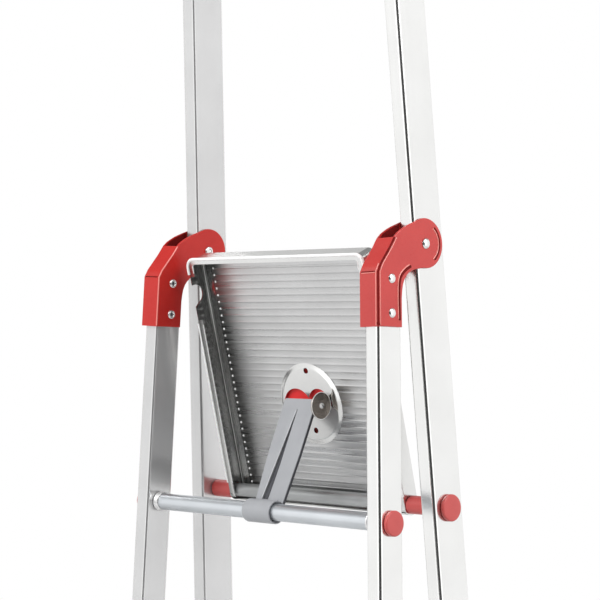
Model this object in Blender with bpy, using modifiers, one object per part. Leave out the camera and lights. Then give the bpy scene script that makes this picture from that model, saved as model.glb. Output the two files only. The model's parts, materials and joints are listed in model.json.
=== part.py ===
"""Folding platform step ladder in aluminium with red hinge brackets, metres, +Z up.

The ladder stands nearly folded. The front frame (stiles, treads, platform rod) stands still.
The rear frame turns at the hinge brackets, the platform tray turns on the platform rod, and
the support lever turns on the rest rod. All four joint axes run along X.
"""
import math

import bmesh
import bpy
from mathutils import Matrix

# Stance
HINGE_Z = 1.440
HINGE_Y = -0.0019
FRONT_LEAN = math.radians(3.65)
REAR_LEAN = math.radians(-1.90)
TRAY_LEAN = math.radians(14.0)
LEVER_LEAN = math.radians(-26.19)
OPEN_LEAN = math.radians(18.2)

# Rails
SPLAY = 0.041
SPLAY_ANGLE = math.atan(SPLAY)
OUTER_HALF = 0.1803
RAIL_WIDTH = 0.020
STILE_DEPTH = 0.0465
LEG_DEPTH = 0.036
RAIL_WALL = 0.0013
RAIL_CORNER = 0.0025
STILE_Y = 0.0094
LEG_Y = -0.0535
STILE_TOP = 0.385
STILE_BOTTOM = -1.437
LEG_TOP = -0.0362
LEG_BOTTOM = -1.437
FIT = 0.0003
HOLE_ROOM = 0.0004

# Cross rods
PLATFORM_ROD_Z = -0.282
REST_ROD_Z = -0.293
GUARD_RAIL_Z = 0.345
PLATFORM_ROD_RADIUS = 0.008
REST_ROD_RADIUS = 0.0095
ROD_WALL = 0.0016
ROD_CAP_RADIUS = 0.0145
REST_CAP_RADIUS = 0.0135
ROD_END_INSET = 0.0012
BUSHING_RADIUS = 0.010
FERRULE_RADIUS = 0.0113
FERRULE_LENGTH = 0.0075
COLLAR_GAP = 0.0010

# Treads and braces
TREAD_COUNT = 4
TREAD_PITCH = 0.2355
TREAD_DEPTH = 0.080
TREAD_HEIGHT = 0.028
SHEET = 0.0018
BRACE_DROPS = (0.62, 0.96, 1.28)
BRACE_DEPTH = 0.013
BRACE_HEIGHT = 0.024
BRACE_WALL = 0.0012
TREAD_HOOK = 0.012
GRIP_COUNT = 9
GRIP_PITCH = 0.007
GRIP_RADIUS = 0.0012
SIDE_GAP = 0.0006

# Feet and end caps
FOOT_HEIGHT = 0.048
FOOT_WALL_X = 0.0046
FOOT_WALL_Y = 0.0032
STILE_CAP_HEIGHT = 0.008

# Hinge bracket, its rivets and the hinge pin
BRACKET_WALL = 0.0022
BRACKET_CLEAR = 0.0010
LOBE_Y = 0.0006
LOBE_RADIUS = 0.0267
RIVET_HEIGHTS = (("upper", -0.040), ("lower", -0.076))
RIVET_HOLE = 0.0028
PIN_HOLE = 0.0033

# Platform tray, measured from the platform rod with local Z toward the free end
TRAY_HALF = 0.1385
TRAY_WALL = 0.0015
TRAY_UNDER = 0.011
TRAY_TOP = 0.0125
TRAY_RIM = -0.0113
TRAY_END = 0.2797
TRAY_END_SLOPE = 0.0043 / (TRAY_TOP - TRAY_RIM)
HEM = 0.008
NOSE_Y = 0.0006
NOSE_RADIUS = 0.0119
CURL_RADIUS = 0.0118
CURL_END = -120
SEAT_Y = -0.008
SEAT_Z = 0.239
SEAT_RADIUS = 0.011

# Pivot dish and support lever
PIVOT_Y = -0.0075
PIVOT_Z = 0.110
DISH_X = 0.0015
DISH_Z = 0.106
DISH_RADIUS = 0.0475
LEVER_LENGTH = 0.1355
LEVER_THICK = 0.0036
HUB_RADIUS = 0.013
HUB_LEFT = -0.0204
HUB_RIGHT = 0.0225
BLADE_START = 0.0034
BLADE_SLOPE = -0.0325
DISH_FACE = 0.0083
DISH_FACE_RADIUS = 0.0440
DISH_HOLES = (("a", -0.018, 0.102, 0.022), ("b", 0.0165, 0.1085, 0.016))
SCREWS = (("top", 0.0034, 0.1450), ("right", 0.0385, 0.1080), ("bottom", 0.0034, 0.0690))
SCREW_HOLE = 0.0022
LUG_X = (0.0305, 0.0330)
PIN_STUB_X = (0.0262, 0.0310)
PIN_STUB_RADIUS = 0.004
PIN_DISC_RADIUS = 0.0150
PIN_DISC_X = 0.0333

# Release cover on the standing side
COVER_HEIGHT = 0.0175
COVER_ROOF = 0.0025
COVER_EDGE = 0.005


def clear_scene():
    for ob in list(bpy.data.objects):
        bpy.data.objects.remove(ob)


clear_scene()
ladder = bpy.data.collections.new("platform_step_ladder")
bpy.context.scene.collection.children.link(ladder)
cutters = bpy.data.collections.new("cutters")
bpy.context.scene.collection.children.link(cutters)
cutters.hide_render = True


def paint(ob, color, metallic, roughness):
    mat = bpy.data.materials.new(ob.name)
    mat.use_nodes = True
    shader = mat.node_tree.nodes["Principled BSDF"]
    shader.inputs["Base Color"].default_value = (color[0], color[1], color[2], 1.0)
    shader.inputs["Metallic"].default_value = metallic
    shader.inputs["Roughness"].default_value = roughness
    ob.data.materials.clear()
    ob.data.materials.append(mat)


ALUMINIUM = ((0.80, 0.81, 0.82), 1.0, 0.32)
ALLOY_SHEET = ((0.72, 0.73, 0.74), 1.0, 0.38)
STEEL = ((0.55, 0.54, 0.52), 1.0, 0.30)
GREY_CAST = ((0.46, 0.47, 0.49), 0.4, 0.45)
RED_PAINT = ((0.56, 0.08, 0.07), 0.0, 0.38)
RED_PLASTIC = ((0.52, 0.07, 0.07), 0.0, 0.45)
BLACK_RUBBER = ((0.05, 0.05, 0.05), 0.0, 0.75)


def make_frame(name, location, lean):
    frame = bpy.data.objects.new(name, None)
    frame.location = location
    frame.rotation_euler = (lean, 0.0, 0.0)
    frame.empty_display_size = 0.05
    ladder.objects.link(frame)
    return frame


def turned(y, z, lean):
    """World Y and Z of a point given in a frame that leans about the hinge axis."""
    return (y * math.cos(lean) - z * math.sin(lean), y * math.sin(lean) + z * math.cos(lean))


ROD_B = turned(STILE_Y, PLATFORM_ROD_Z, FRONT_LEAN)
ROD_A = turned(LEG_Y, REST_ROD_Z, REAR_LEAN)
front = make_frame("front_frame", (0.0, HINGE_Y, HINGE_Z), FRONT_LEAN)
rear = make_frame("rear_frame", (0.0, HINGE_Y, HINGE_Z), REAR_LEAN)
tray_frame = make_frame("platform", (0.0, HINGE_Y + ROD_B[0], HINGE_Z + ROD_B[1]), TRAY_LEAN)
lever_frame = make_frame("lever", (0.0, HINGE_Y + ROD_A[0], HINGE_Z + ROD_A[1]), LEVER_LEAN)


# ---------------------------------------------------------------- shape helpers
def arc(cx, cy, radius, start, end, steps):
    """Points on an arc in degrees, both ends included."""
    points = []
    for i in range(steps + 1):
        a = math.radians(start + (end - start) * i / steps)
        points.append((cx + radius * math.cos(a), cy + radius * math.sin(a)))
    return points


def rounded_box(x0, x1, y0, y1, radius, steps=3):
    loop = arc(x1 - radius, y1 - radius, radius, 0, 90, steps)
    loop += arc(x0 + radius, y1 - radius, radius, 90, 180, steps)
    loop += arc(x0 + radius, y0 + radius, radius, 180, 270, steps)
    loop += arc(x1 - radius, y0 + radius, radius, 270, 360, steps)
    return loop


def solid_outline(name, loops, low, high, plane):
    """Extrude closed loops from low to high; later loops inside the first are holes.

    Plane XY extrudes along Z, plane YZ along X, and plane XZ along Y.
    """
    curve = bpy.data.curves.new(name + "_outline", "CURVE")
    curve.dimensions = "2D"
    curve.fill_mode = "BOTH"
    curve.extrude = (high - low) / 2.0
    for loop in loops:
        spline = curve.splines.new("POLY")
        spline.points.add(len(loop) - 1)
        for point, (u, v) in zip(spline.points, loop):
            point.co = (u, v, 0.0, 1.0)
        spline.use_cyclic_u = True
    drawn = bpy.data.objects.new(name + "_outline", curve)
    bpy.context.scene.collection.objects.link(drawn)
    depsgraph = bpy.context.evaluated_depsgraph_get()
    mesh = bpy.data.meshes.new_from_object(drawn.evaluated_get(depsgraph))
    mesh.name = name
    bpy.data.objects.remove(drawn)
    bm = bmesh.new()
    bm.from_mesh(mesh)
    bmesh.ops.remove_doubles(bm, verts=bm.verts, dist=0.00001)
    bmesh.ops.translate(bm, verts=bm.verts, vec=(0.0, 0.0, (low + high) / 2.0))
    if plane == "YZ":
        turn = Matrix(((0, 0, 1), (1, 0, 0), (0, 1, 0)))
        bmesh.ops.transform(bm, matrix=turn.to_4x4(), verts=bm.verts)
    if plane == "XZ":
        turn = Matrix(((1, 0, 0), (0, 0, 1), (0, 1, 0)))
        bmesh.ops.transform(bm, matrix=turn.to_4x4(), verts=bm.verts)
        bmesh.ops.reverse_faces(bm, faces=bm.faces)
    bmesh.ops.recalc_face_normals(bm, faces=bm.faces)
    bm.to_mesh(mesh)
    bm.free()
    return bpy.data.objects.new(name, mesh)


def rod_between(name, x0, x1, y, z, radius, segments=32):
    """A cylinder along local X."""
    bm = bmesh.new()
    bmesh.ops.create_cone(bm, cap_ends=True, segments=segments, radius1=radius,
                          radius2=radius, depth=x1 - x0)
    bmesh.ops.rotate(bm, verts=bm.verts, matrix=Matrix.Rotation(math.radians(90), 3, "Y"))
    bmesh.ops.translate(bm, verts=bm.verts, vec=((x0 + x1) / 2.0, y, z))
    mesh = bpy.data.meshes.new(name)
    bm.to_mesh(mesh)
    bm.free()
    return bpy.data.objects.new(name, mesh)


def disc_between(name, y0, y1, x, z, radius0, radius1, segments=32):
    """A cylinder or cone along local Y, radius0 at y0 and radius1 at y1."""
    bm = bmesh.new()
    bmesh.ops.create_cone(bm, cap_ends=True, segments=segments, radius1=radius0,
                          radius2=radius1, depth=y1 - y0)
    bmesh.ops.rotate(bm, verts=bm.verts, matrix=Matrix.Rotation(math.radians(-90), 3, "X"))
    bmesh.ops.translate(bm, verts=bm.verts, vec=(x, (y0 + y1) / 2.0, z))
    mesh = bpy.data.meshes.new(name)
    bm.to_mesh(mesh)
    bm.free()
    return bpy.data.objects.new(name, mesh)


def block(name, x0, x1, y0, y1, z0, z1):
    bm = bmesh.new()
    bmesh.ops.create_cube(bm, size=1.0)
    bmesh.ops.scale(bm, verts=bm.verts, vec=(x1 - x0, y1 - y0, z1 - z0))
    centre = ((x0 + x1) / 2.0, (y0 + y1) / 2.0, (z0 + z1) / 2.0)
    bmesh.ops.translate(bm, verts=bm.verts, vec=centre)
    mesh = bpy.data.meshes.new(name)
    bm.to_mesh(mesh)
    bm.free()
    return bpy.data.objects.new(name, mesh)


def spun(name, profile, segments=28):
    """Revolve a profile of (radius, x) pairs about local X."""
    mesh = bpy.data.meshes.new(name)
    verts = [(radius, 0.0, -x) for radius, x in profile]
    edges = [(i, i + 1) for i in range(len(profile) - 1)]
    mesh.from_pydata(verts, edges, [])
    ob = bpy.data.objects.new(name, mesh)
    screw = ob.modifiers.new("revolve", "SCREW")
    screw.axis = "Z"
    screw.steps = segments
    screw.render_steps = segments
    screw.use_merge_vertices = True
    screw.merge_threshold = 0.00005
    screw.use_normal_calculate = True
    bpy.context.scene.collection.objects.link(ob)
    depsgraph = bpy.context.evaluated_depsgraph_get()
    turned_mesh = bpy.data.meshes.new_from_object(ob.evaluated_get(depsgraph))
    bpy.data.objects.remove(ob)
    bm = bmesh.new()
    bm.from_mesh(turned_mesh)
    bmesh.ops.remove_doubles(bm, verts=bm.verts, dist=0.00001)
    bmesh.ops.rotate(bm, verts=bm.verts, matrix=Matrix.Rotation(math.radians(-90), 3, "Y"))
    bmesh.ops.recalc_face_normals(bm, faces=bm.faces)
    bm.to_mesh(turned_mesh)
    bm.free()
    return bpy.data.objects.new(name, turned_mesh)


def place(ob, frame, location=(0.0, 0.0, 0.0), rotation=(0.0, 0.0, 0.0), look=None):
    ob.parent = frame
    ob.location = location
    ob.rotation_euler = rotation
    if look is not None:
        ladder.objects.link(ob)
        paint(ob, *look)
    return ob


def shade_round(ob, degrees=35.0):
    for polygon in ob.data.polygons:
        polygon.use_smooth = True
    ob.data.set_sharp_from_angle(angle=math.radians(degrees))


def combine(ob, tool, operation, frame=None, location=(0.0, 0.0, 0.0), rotation=(0.0, 0.0, 0.0)):
    cutters.objects.link(tool)
    tool.parent = frame
    tool.location = location
    tool.rotation_euler = rotation
    tool.hide_render = True
    tool.display_type = "WIRE"
    step = ob.modifiers.new(tool.name, "BOOLEAN")
    step.operation = operation
    step.solver = "EXACT"
    step.object = tool
    return step


def soften(ob, width, segments=2, degrees=40.0):
    bevel = ob.modifiers.new("edge_round", "BEVEL")
    bevel.width = width
    bevel.segments = segments
    bevel.limit_method = "ANGLE"
    bevel.angle_limit = math.radians(degrees)
    bevel.harden_normals = False
    return bevel


def rail_x(side, z):
    """Centre of a rail across the ladder at local height z."""
    return side * (OUTER_HALF - RAIL_WIDTH / 2.0 - SPLAY * z)


def rail_tilt(side):
    return (0.0, -side * SPLAY_ANGLE, 0.0)


SIDES = (("left", -1), ("right", 1))


# ---------------------------------------------------------------- rails
def rail_loops(depth):
    half_w = RAIL_WIDTH / 2.0
    half_d = depth / 2.0
    outer = rounded_box(-half_w, half_w, -half_d, half_d, RAIL_CORNER)
    inner = rounded_box(-half_w + RAIL_WALL, half_w - RAIL_WALL,
                        -half_d + RAIL_WALL, half_d - RAIL_WALL, RAIL_CORNER - RAIL_WALL)
    return [outer, inner]


for tag, side in SIDES:
    stile = solid_outline("stile_" + tag, rail_loops(STILE_DEPTH), STILE_BOTTOM, STILE_TOP, "XY")
    place(stile, front, (rail_x(side, 0.0), STILE_Y, 0.0), rail_tilt(side), ALUMINIUM)
    hinge_hole = rod_between("hinge_hole_" + tag, 0.14, 0.20, 0.0, 0.0, PIN_HOLE, 20)
    hinge_hole.scale = (side, 1.0, 1.0)
    combine(stile, hinge_hole, "DIFFERENCE", front)
    for hole_name, hole_z in (("platform_hole_", PLATFORM_ROD_Z), ("guard_hole_", GUARD_RAIL_Z)):
        cutter = rod_between(hole_name + tag, 0.13, 0.23, STILE_Y, hole_z,
                             PLATFORM_ROD_RADIUS + HOLE_ROOM, 32)
        cutter.scale = (side, 1.0, 1.0)
        combine(stile, cutter, "DIFFERENCE", front)
    shade_round(stile)

    leg = solid_outline("leg_" + tag, rail_loops(LEG_DEPTH), LEG_BOTTOM, LEG_TOP, "XY")
    place(leg, rear, (rail_x(side, 0.0), LEG_Y, 0.0), rail_tilt(side), ALUMINIUM)
    rest_hole = rod_between("rest_hole_" + tag, 0.13, 0.23, LEG_Y, REST_ROD_Z,
                            REST_ROD_RADIUS + HOLE_ROOM, 32)
    rest_hole.scale = (side, 1.0, 1.0)
    combine(leg, rest_hole, "DIFFERENCE", rear)
    for level, rivet_z in RIVET_HEIGHTS:
        cutter = rod_between("leg_rivet_hole_%s_%s" % (level, tag), -0.02, 0.02, 0.0, rivet_z,
                             RIVET_HOLE, 20)
        combine(leg, cutter, "DIFFERENCE", rear, (rail_x(side, 0.0), LEG_Y, 0.0), rail_tilt(side))
    shade_round(leg)

# ---------------------------------------------------------------- hinge brackets
def bracket_outline():
    """Side view of the bracket: strap down the leg, sloped shoulder, round lobe at the hinge."""
    loop = [(-0.0750, -0.0904), (-0.0750, -0.0335), (-0.0705, -0.0250), (-0.0562, -0.0070)]
    loop += [(-0.0490, 0.0038), (-0.0440, 0.0085), (-0.0390, 0.0115), (-0.0280, 0.0172)]
    loop += [(-0.0150, 0.0224)]
    loop += arc(LOBE_Y, 0.0, LOBE_RADIUS, 105, -98, 14)
    loop += [(-0.0100, -0.0277), (-0.0165, -0.0288), (-0.0265, -0.0328), (-0.0305, -0.0362)]
    loop += [(-0.0340, -0.0410), (-0.0362, -0.0465), (-0.0380, -0.0620), (-0.0380, -0.0904)]
    loop.reverse()
    return loop


def bracket_room(name, half):
    """The space between the two side plates, open toward the stile and at both ends."""
    loop = [(-0.0718, -0.0950), (-0.0718, -0.0342), (-0.0682, -0.0265), (-0.0539, -0.0087)]
    loop += [(-0.0467, 0.0022), (-0.0550, 0.0078), (-0.0600, 0.0400), (0.0600, 0.0400)]
    loop += [(0.0600, -0.0950)]
    loop.reverse()
    return solid_outline(name, [loop], -half, half, "YZ")


for tag, side in SIDES:
    half = RAIL_WIDTH / 2.0 + BRACKET_CLEAR
    bracket = solid_outline("hinge_bracket_" + tag, [bracket_outline()],
                            -half - BRACKET_WALL, half + BRACKET_WALL, "YZ")
    centre = (rail_x(side, 0.0), 0.0, 0.0)
    place(bracket, rear, centre, rail_tilt(side), RED_PAINT)
    soften(bracket, 0.0008, 1, 50.0)
    room = bracket_room("bracket_room_" + tag, half)
    combine(bracket, room, "DIFFERENCE", rear, centre, rail_tilt(side))
    cutter = rod_between("bracket_pin_hole_" + tag, 0.13, 0.21, 0.0, 0.0, PIN_HOLE, 20)
    cutter.scale = (side, 1.0, 1.0)
    combine(bracket, cutter, "DIFFERENCE", rear)
    for level, rivet_z in RIVET_HEIGHTS:
        hole = rod_between("bracket_rivet_hole_%s_%s" % (level, tag), -0.03, 0.03, LEG_Y, rivet_z,
                           RIVET_HOLE, 20)
        combine(bracket, hole, "DIFFERENCE", rear, centre, rail_tilt(side))
        reach = half + BRACKET_WALL + FIT
        profile = [(0.0, -reach - 0.0018), (0.0027, -reach - 0.0016), (0.0047, -reach - 0.0008),
                   (0.0051, -reach), (0.0025, -reach), (0.0025, reach), (0.0051, reach),
                   (0.0047, reach + 0.0008), (0.0027, reach + 0.0016), (0.0, reach + 0.0018)]
        rivet = spun("bracket_rivet_%s_%s" % (level, tag), profile, 20)
        # The rivet sits on the rail's own centre line, square to the tilted rail.
        tilt = Matrix.Rotation(-side * SPLAY_ANGLE, 3, "Y")
        spot = tilt @ Matrix.Translation((0.0, LEG_Y, rivet_z)).to_translation()
        place(rivet, rear, (centre[0] + spot[0], spot[1], spot[2]), rail_tilt(side), STEEL)
        shade_round(rivet)
    reach = half + BRACKET_WALL + 2.0 * FIT
    profile = [(0.0, -reach - 0.0024), (0.0030, -reach - 0.0021), (0.0050, -reach - 0.0012),
               (0.0056, -reach), (0.0030, -reach), (0.0030, reach), (0.0056, reach),
               (0.0050, reach + 0.0012), (0.0030, reach + 0.0021), (0.0, reach + 0.0024)]
    pin = spun("hinge_pin_" + tag, profile, 24)
    place(pin, front, centre, (0.0, 0.0, 0.0), STEEL)
    shade_round(pin)


# ---------------------------------------------------------------- cross rods with caps
def cross_rod(name, frame, y, z, radius, cap_radius, cap_name):
    reach = OUTER_HALF - SPLAY * z - ROD_END_INSET
    rod = rod_between(name, -reach, reach, y, z, radius, 36)
    bore = rod_between(name + "_bore", -0.3, 0.3, y, z, radius - ROD_WALL, 28)
    combine(rod, bore, "DIFFERENCE", frame)
    place(rod, frame, look=ALUMINIUM)
    shade_round(rod)
    for tag, side in SIDES:
        stem = radius - ROD_WALL - 0.0007
        profile = [(0.0, -0.009), (stem, -0.009), (stem, FIT), (cap_radius - 0.0006, FIT),
                   (cap_radius, 0.0010), (cap_radius, 0.0034), (cap_radius - 0.0014, 0.0048),
                   (cap_radius - 0.0040, 0.0054), (0.0, 0.0058)]
        cap = spun(cap_name + "_" + tag, profile, 32)
        turn = 0.0 if side > 0 else math.pi
        place(cap, frame, (side * (OUTER_HALF - SPLAY * z + 0.0002), y, z),
              (0.0, -SPLAY_ANGLE, turn), RED_PLASTIC)
        shade_round(cap)


cross_rod("platform_rod", front, STILE_Y, PLATFORM_ROD_Z, PLATFORM_ROD_RADIUS,
          ROD_CAP_RADIUS, "platform_rod_cap")
cross_rod("guard_rail", front, STILE_Y, GUARD_RAIL_Z, PLATFORM_ROD_RADIUS,
          ROD_CAP_RADIUS, "guard_rail_cap")
cross_rod("rest_rod", rear, LEG_Y, REST_ROD_Z, REST_ROD_RADIUS, REST_CAP_RADIUS, "rest_rod_cap")

for tag, side in SIDES:
    inner_face = OUTER_HALF - RAIL_WIDTH - SPLAY * PLATFORM_ROD_Z
    bushing = rod_between("platform_bushing_" + tag, TRAY_HALF + HOLE_ROOM, inner_face - COLLAR_GAP,
                          0.0, 0.0, BUSHING_RADIUS, 32)
    bushing.data.transform(Matrix.Scale(side, 4, (1.0, 0.0, 0.0)))
    bore = rod_between("bushing_bore_" + tag, -0.3, 0.3, STILE_Y, PLATFORM_ROD_Z,
                       PLATFORM_ROD_RADIUS + FIT, 32)
    if side < 0:
        bushing.data.flip_normals()
    combine(bushing, bore, "DIFFERENCE", front)
    place(bushing, front, (0.0, STILE_Y, PLATFORM_ROD_Z), look=RED_PLASTIC)
    shade_round(bushing)

    inner_face = OUTER_HALF - RAIL_WIDTH - SPLAY * REST_ROD_Z
    high = inner_face - COLLAR_GAP
    ferrule = rod_between("rest_rod_ferrule_" + tag, high - FERRULE_LENGTH, high, 0.0, 0.0,
                          FERRULE_RADIUS, 32)
    ferrule.data.transform(Matrix.Scale(side, 4, (1.0, 0.0, 0.0)))
    if side < 0:
        ferrule.data.flip_normals()
    bore = rod_between("ferrule_bore_" + tag, -0.3, 0.3, LEG_Y, REST_ROD_Z, REST_ROD_RADIUS + FIT, 32)
    combine(ferrule, bore, "DIFFERENCE", rear)
    place(ferrule, rear, (0.0, LEG_Y, REST_ROD_Z), look=ALUMINIUM)
    shade_round(ferrule)

# ---------------------------------------------------------------- treads and braces
def tread_outline():
    """Section of a tread: flat top, two side webs and hooks turned inward at the bottom."""
    front_y = TREAD_DEPTH / 2.0
    loop = arc(front_y - 0.004, -0.004, 0.004, 0, 90, 3)
    loop += arc(-front_y + 0.004, -0.004, 0.004, 90, 180, 3)
    hook_y = front_y - TREAD_HOOK
    web_y = front_y - SHEET
    base = -TREAD_HEIGHT
    hook_top = base + SHEET
    loop += [(-front_y, base), (-hook_y, base), (-hook_y, hook_top), (-web_y, hook_top)]
    loop += [(-web_y, -SHEET - 0.002), (-web_y + 0.002, -SHEET), (web_y - 0.002, -SHEET)]
    loop += [(web_y, -SHEET - 0.002), (web_y, hook_top), (hook_y, hook_top), (hook_y, base)]
    loop += [(front_y, base)]
    return loop


for n in range(TREAD_COUNT):
    tread_z = PLATFORM_ROD_Z - TREAD_PITCH * (n + 1)
    reach = OUTER_HALF - RAIL_WIDTH - SPLAY * (tread_z + 0.016) - SIDE_GAP
    tread = solid_outline("tread_%d" % (n + 1), [tread_outline()], -reach, reach, "YZ")
    grip = solid_outline("tread_grip_%d" % (n + 1), [arc(0.0, 0.0, GRIP_RADIUS, 90, 450, 6)[:-1]],
                         -reach + 0.012, reach - 0.012, "YZ")
    row = grip.modifiers.new("row", "ARRAY")
    row.count = GRIP_COUNT
    row.use_relative_offset = False
    row.use_constant_offset = True
    row.constant_offset_displace = (0.0, GRIP_PITCH, 0.0)
    spot = (0.0, STILE_Y - 0.002, tread_z)
    first = -GRIP_PITCH * (GRIP_COUNT - 1) / 2.0
    turn = (-OPEN_LEAN, 0.0, 0.0)
    shift = (spot[0], spot[1] + first * math.cos(OPEN_LEAN), spot[2] - first * math.sin(OPEN_LEAN))
    combine(tread, grip, "DIFFERENCE", front, shift, turn)
    place(tread, front, spot, turn, ALUMINIUM)
    shade_round(tread)

for n, drop in enumerate(BRACE_DROPS):
    half_y = BRACE_DEPTH / 2.0
    half_z = BRACE_HEIGHT / 2.0
    reach = OUTER_HALF - RAIL_WIDTH + SPLAY * (drop - half_z) - SIDE_GAP
    outer = rounded_box(-half_y, half_y, -half_z, half_z, 0.003)
    inner = rounded_box(-half_y + BRACE_WALL, half_y - BRACE_WALL, -half_z + BRACE_WALL,
                        half_z - BRACE_WALL, 0.003 - BRACE_WALL)
    brace = solid_outline("rear_brace_%d" % (n + 1), [outer, inner], -reach, reach, "YZ")
    place(brace, rear, (0.0, LEG_Y, -drop), look=ALUMINIUM)
    shade_round(brace)


# ---------------------------------------------------------------- feet and end caps
def add_foot(name, frame, lean, rail_y, bottom, depth, side):
    sole_y = turned(rail_y, bottom, lean)[0]
    half_d = depth / 2.0 + FOOT_WALL_Y
    half_w = RAIL_WIDTH / 2.0 + FOOT_WALL_X
    loop = [(-half_d + 0.004, 0.0), (half_d - 0.004, 0.0)]
    loop += arc(half_d - 0.003, 0.008, 0.008, -60, 0, 4)
    loop += [(half_d - 0.0005, FOOT_HEIGHT - 0.004), (half_d - 0.003, FOOT_HEIGHT)]
    loop += [(-half_d + 0.003, FOOT_HEIGHT), (-half_d + 0.0005, FOOT_HEIGHT - 0.004)]
    loop += arc(-half_d + 0.003, 0.008, 0.008, 180, 240, 4)
    foot = solid_outline(name, [loop], -half_w, half_w, "YZ")
    centre_x = rail_x(side, bottom + 0.018)
    place(foot, None, (centre_x, HINGE_Y + sole_y, 0.0), look=BLACK_RUBBER)
    foot.parent = frame
    foot.matrix_parent_inverse = (Matrix.Translation((0.0, HINGE_Y, HINGE_Z))
                                  @ Matrix.Rotation(lean, 4, "X")).inverted()
    soften(foot, 0.0012, 2, 50.0)
    pocket = block(name + "_pocket", -RAIL_WIDTH / 2.0 - FIT, RAIL_WIDTH / 2.0 + FIT,
                   -depth / 2.0 - FIT, depth / 2.0 + FIT, bottom - FIT, bottom + 0.1)
    combine(foot, pocket, "DIFFERENCE", frame, (rail_x(side, 0.0), rail_y, 0.0), rail_tilt(side))


for tag, side in SIDES:
    add_foot("front_foot_" + tag, front, FRONT_LEAN, STILE_Y, STILE_BOTTOM, STILE_DEPTH, side)
    add_foot("rear_foot_" + tag, rear, REAR_LEAN, LEG_Y, LEG_BOTTOM, LEG_DEPTH, side)

    half_w = RAIL_WIDTH / 2.0
    half_d = STILE_DEPTH / 2.0
    cap = block("stile_cap_" + tag, -half_w, half_w, -half_d, half_d, STILE_TOP + FIT,
                STILE_TOP + STILE_CAP_HEIGHT)
    soften(cap, 0.0022, 3, 50.0)
    inset = RAIL_WALL + 0.0006
    stem = block("cap_stem_" + tag, -half_w + inset, half_w - inset, -half_d + inset, half_d - inset,
                 STILE_TOP - 0.014, STILE_TOP + 0.004)
    centre = (rail_x(side, 0.0), STILE_Y, 0.0)
    combine(cap, stem, "UNION", front, centre, rail_tilt(side))
    place(cap, front, centre, rail_tilt(side), RED_PLASTIC)


# ---------------------------------------------------------------- platform tray
def tray_plan(half, low, high, radius):
    """Plan of the tray with rounded corners at the free end only."""
    loop = [(-half, low), (half, low)]
    loop += arc(half - radius, high - radius, radius, 0, 90, 4)
    loop += arc(-half + radius, high - radius, radius, 90, 180, 4)
    return loop


def slope_end(ob):
    for vert in ob.data.vertices:
        if vert.co.z > 0.15:
            vert.co.z += (vert.co.y - TRAY_RIM) * TRAY_END_SLOPE


tray = solid_outline("platform_tray", [tray_plan(TRAY_HALF, -0.014, TRAY_END, 0.010)],
                     TRAY_RIM, TRAY_TOP, "XZ")
slope_end(tray)
cavity = solid_outline("tray_cavity",
                       [tray_plan(TRAY_HALF - TRAY_WALL, -0.05, TRAY_END - TRAY_WALL, 0.0085)],
                       TRAY_RIM + TRAY_WALL, TRAY_UNDER, "XZ")
slope_end(cavity)
combine(tray, cavity, "DIFFERENCE", tray_frame)
mouth = solid_outline("tray_mouth", [tray_plan(TRAY_HALF - HEM, -0.05, TRAY_END - HEM, 0.004)],
                      TRAY_RIM - 0.01, TRAY_RIM + 0.003, "XZ")
combine(tray, mouth, "DIFFERENCE", tray_frame)
no_hem = block("tray_no_hem", -TRAY_HALF + TRAY_WALL, TRAY_HALF - TRAY_WALL,
               TRAY_RIM - 0.01, TRAY_RIM + 0.003, 0.209, 0.260)
combine(tray, no_hem, "DIFFERENCE", tray_frame)
nose = [(-0.03, 0.001), (-0.03, -0.03), (0.03, -0.03), (0.03, 0.001), (0.0127, 0.001)]
nose += arc(NOSE_Y, 0.0, NOSE_RADIUS, 0, -180, 12)
nose += [(-0.0115, 0.001)]
end_cut = solid_outline("tray_nose_cut", [nose], -0.15, 0.15, "YZ")
combine(tray, end_cut, "DIFFERENCE", tray_frame)
seat = rod_between("tray_seat", -0.15, 0.15, SEAT_Y, SEAT_Z, SEAT_RADIUS, 32)
combine(tray, seat, "DIFFERENCE", tray_frame)
throat = [(-0.0029, 0.2295), (-0.0080, 0.2500), (-0.0200, 0.2500), (-0.0200, 0.2178)]
seat_mouth = solid_outline("tray_seat_mouth", [throat], -0.15, 0.15, "YZ")
combine(tray, seat_mouth, "DIFFERENCE", tray_frame)
holes = rod_between("tray_rod_holes", -0.15, 0.15, 0.0, 0.0, 0.0087, 32)
combine(tray, holes, "DIFFERENCE", tray_frame)
# The sheet curls round under the platform rod.
curl_loop = arc(NOSE_Y, 0.0, CURL_RADIUS, 0, CURL_END, 8)
curl_loop += arc(NOSE_Y, 0.0, CURL_RADIUS - TRAY_WALL + 0.0001, CURL_END, 0, 8)
curl = solid_outline("tray_curl", [curl_loop], -TRAY_HALF + FIT, TRAY_HALF - FIT, "YZ")
combine(tray, curl, "UNION", tray_frame)
window = solid_outline("tray_window", [rounded_box(-0.040, 0.034, 0.0685, 0.128, 0.006)],
                       TRAY_UNDER - 0.002, TRAY_TOP + 0.002, "XZ")
combine(tray, window, "DIFFERENCE", tray_frame)
place(tray, tray_frame, look=ALLOY_SHEET)
shade_round(tray)

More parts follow.
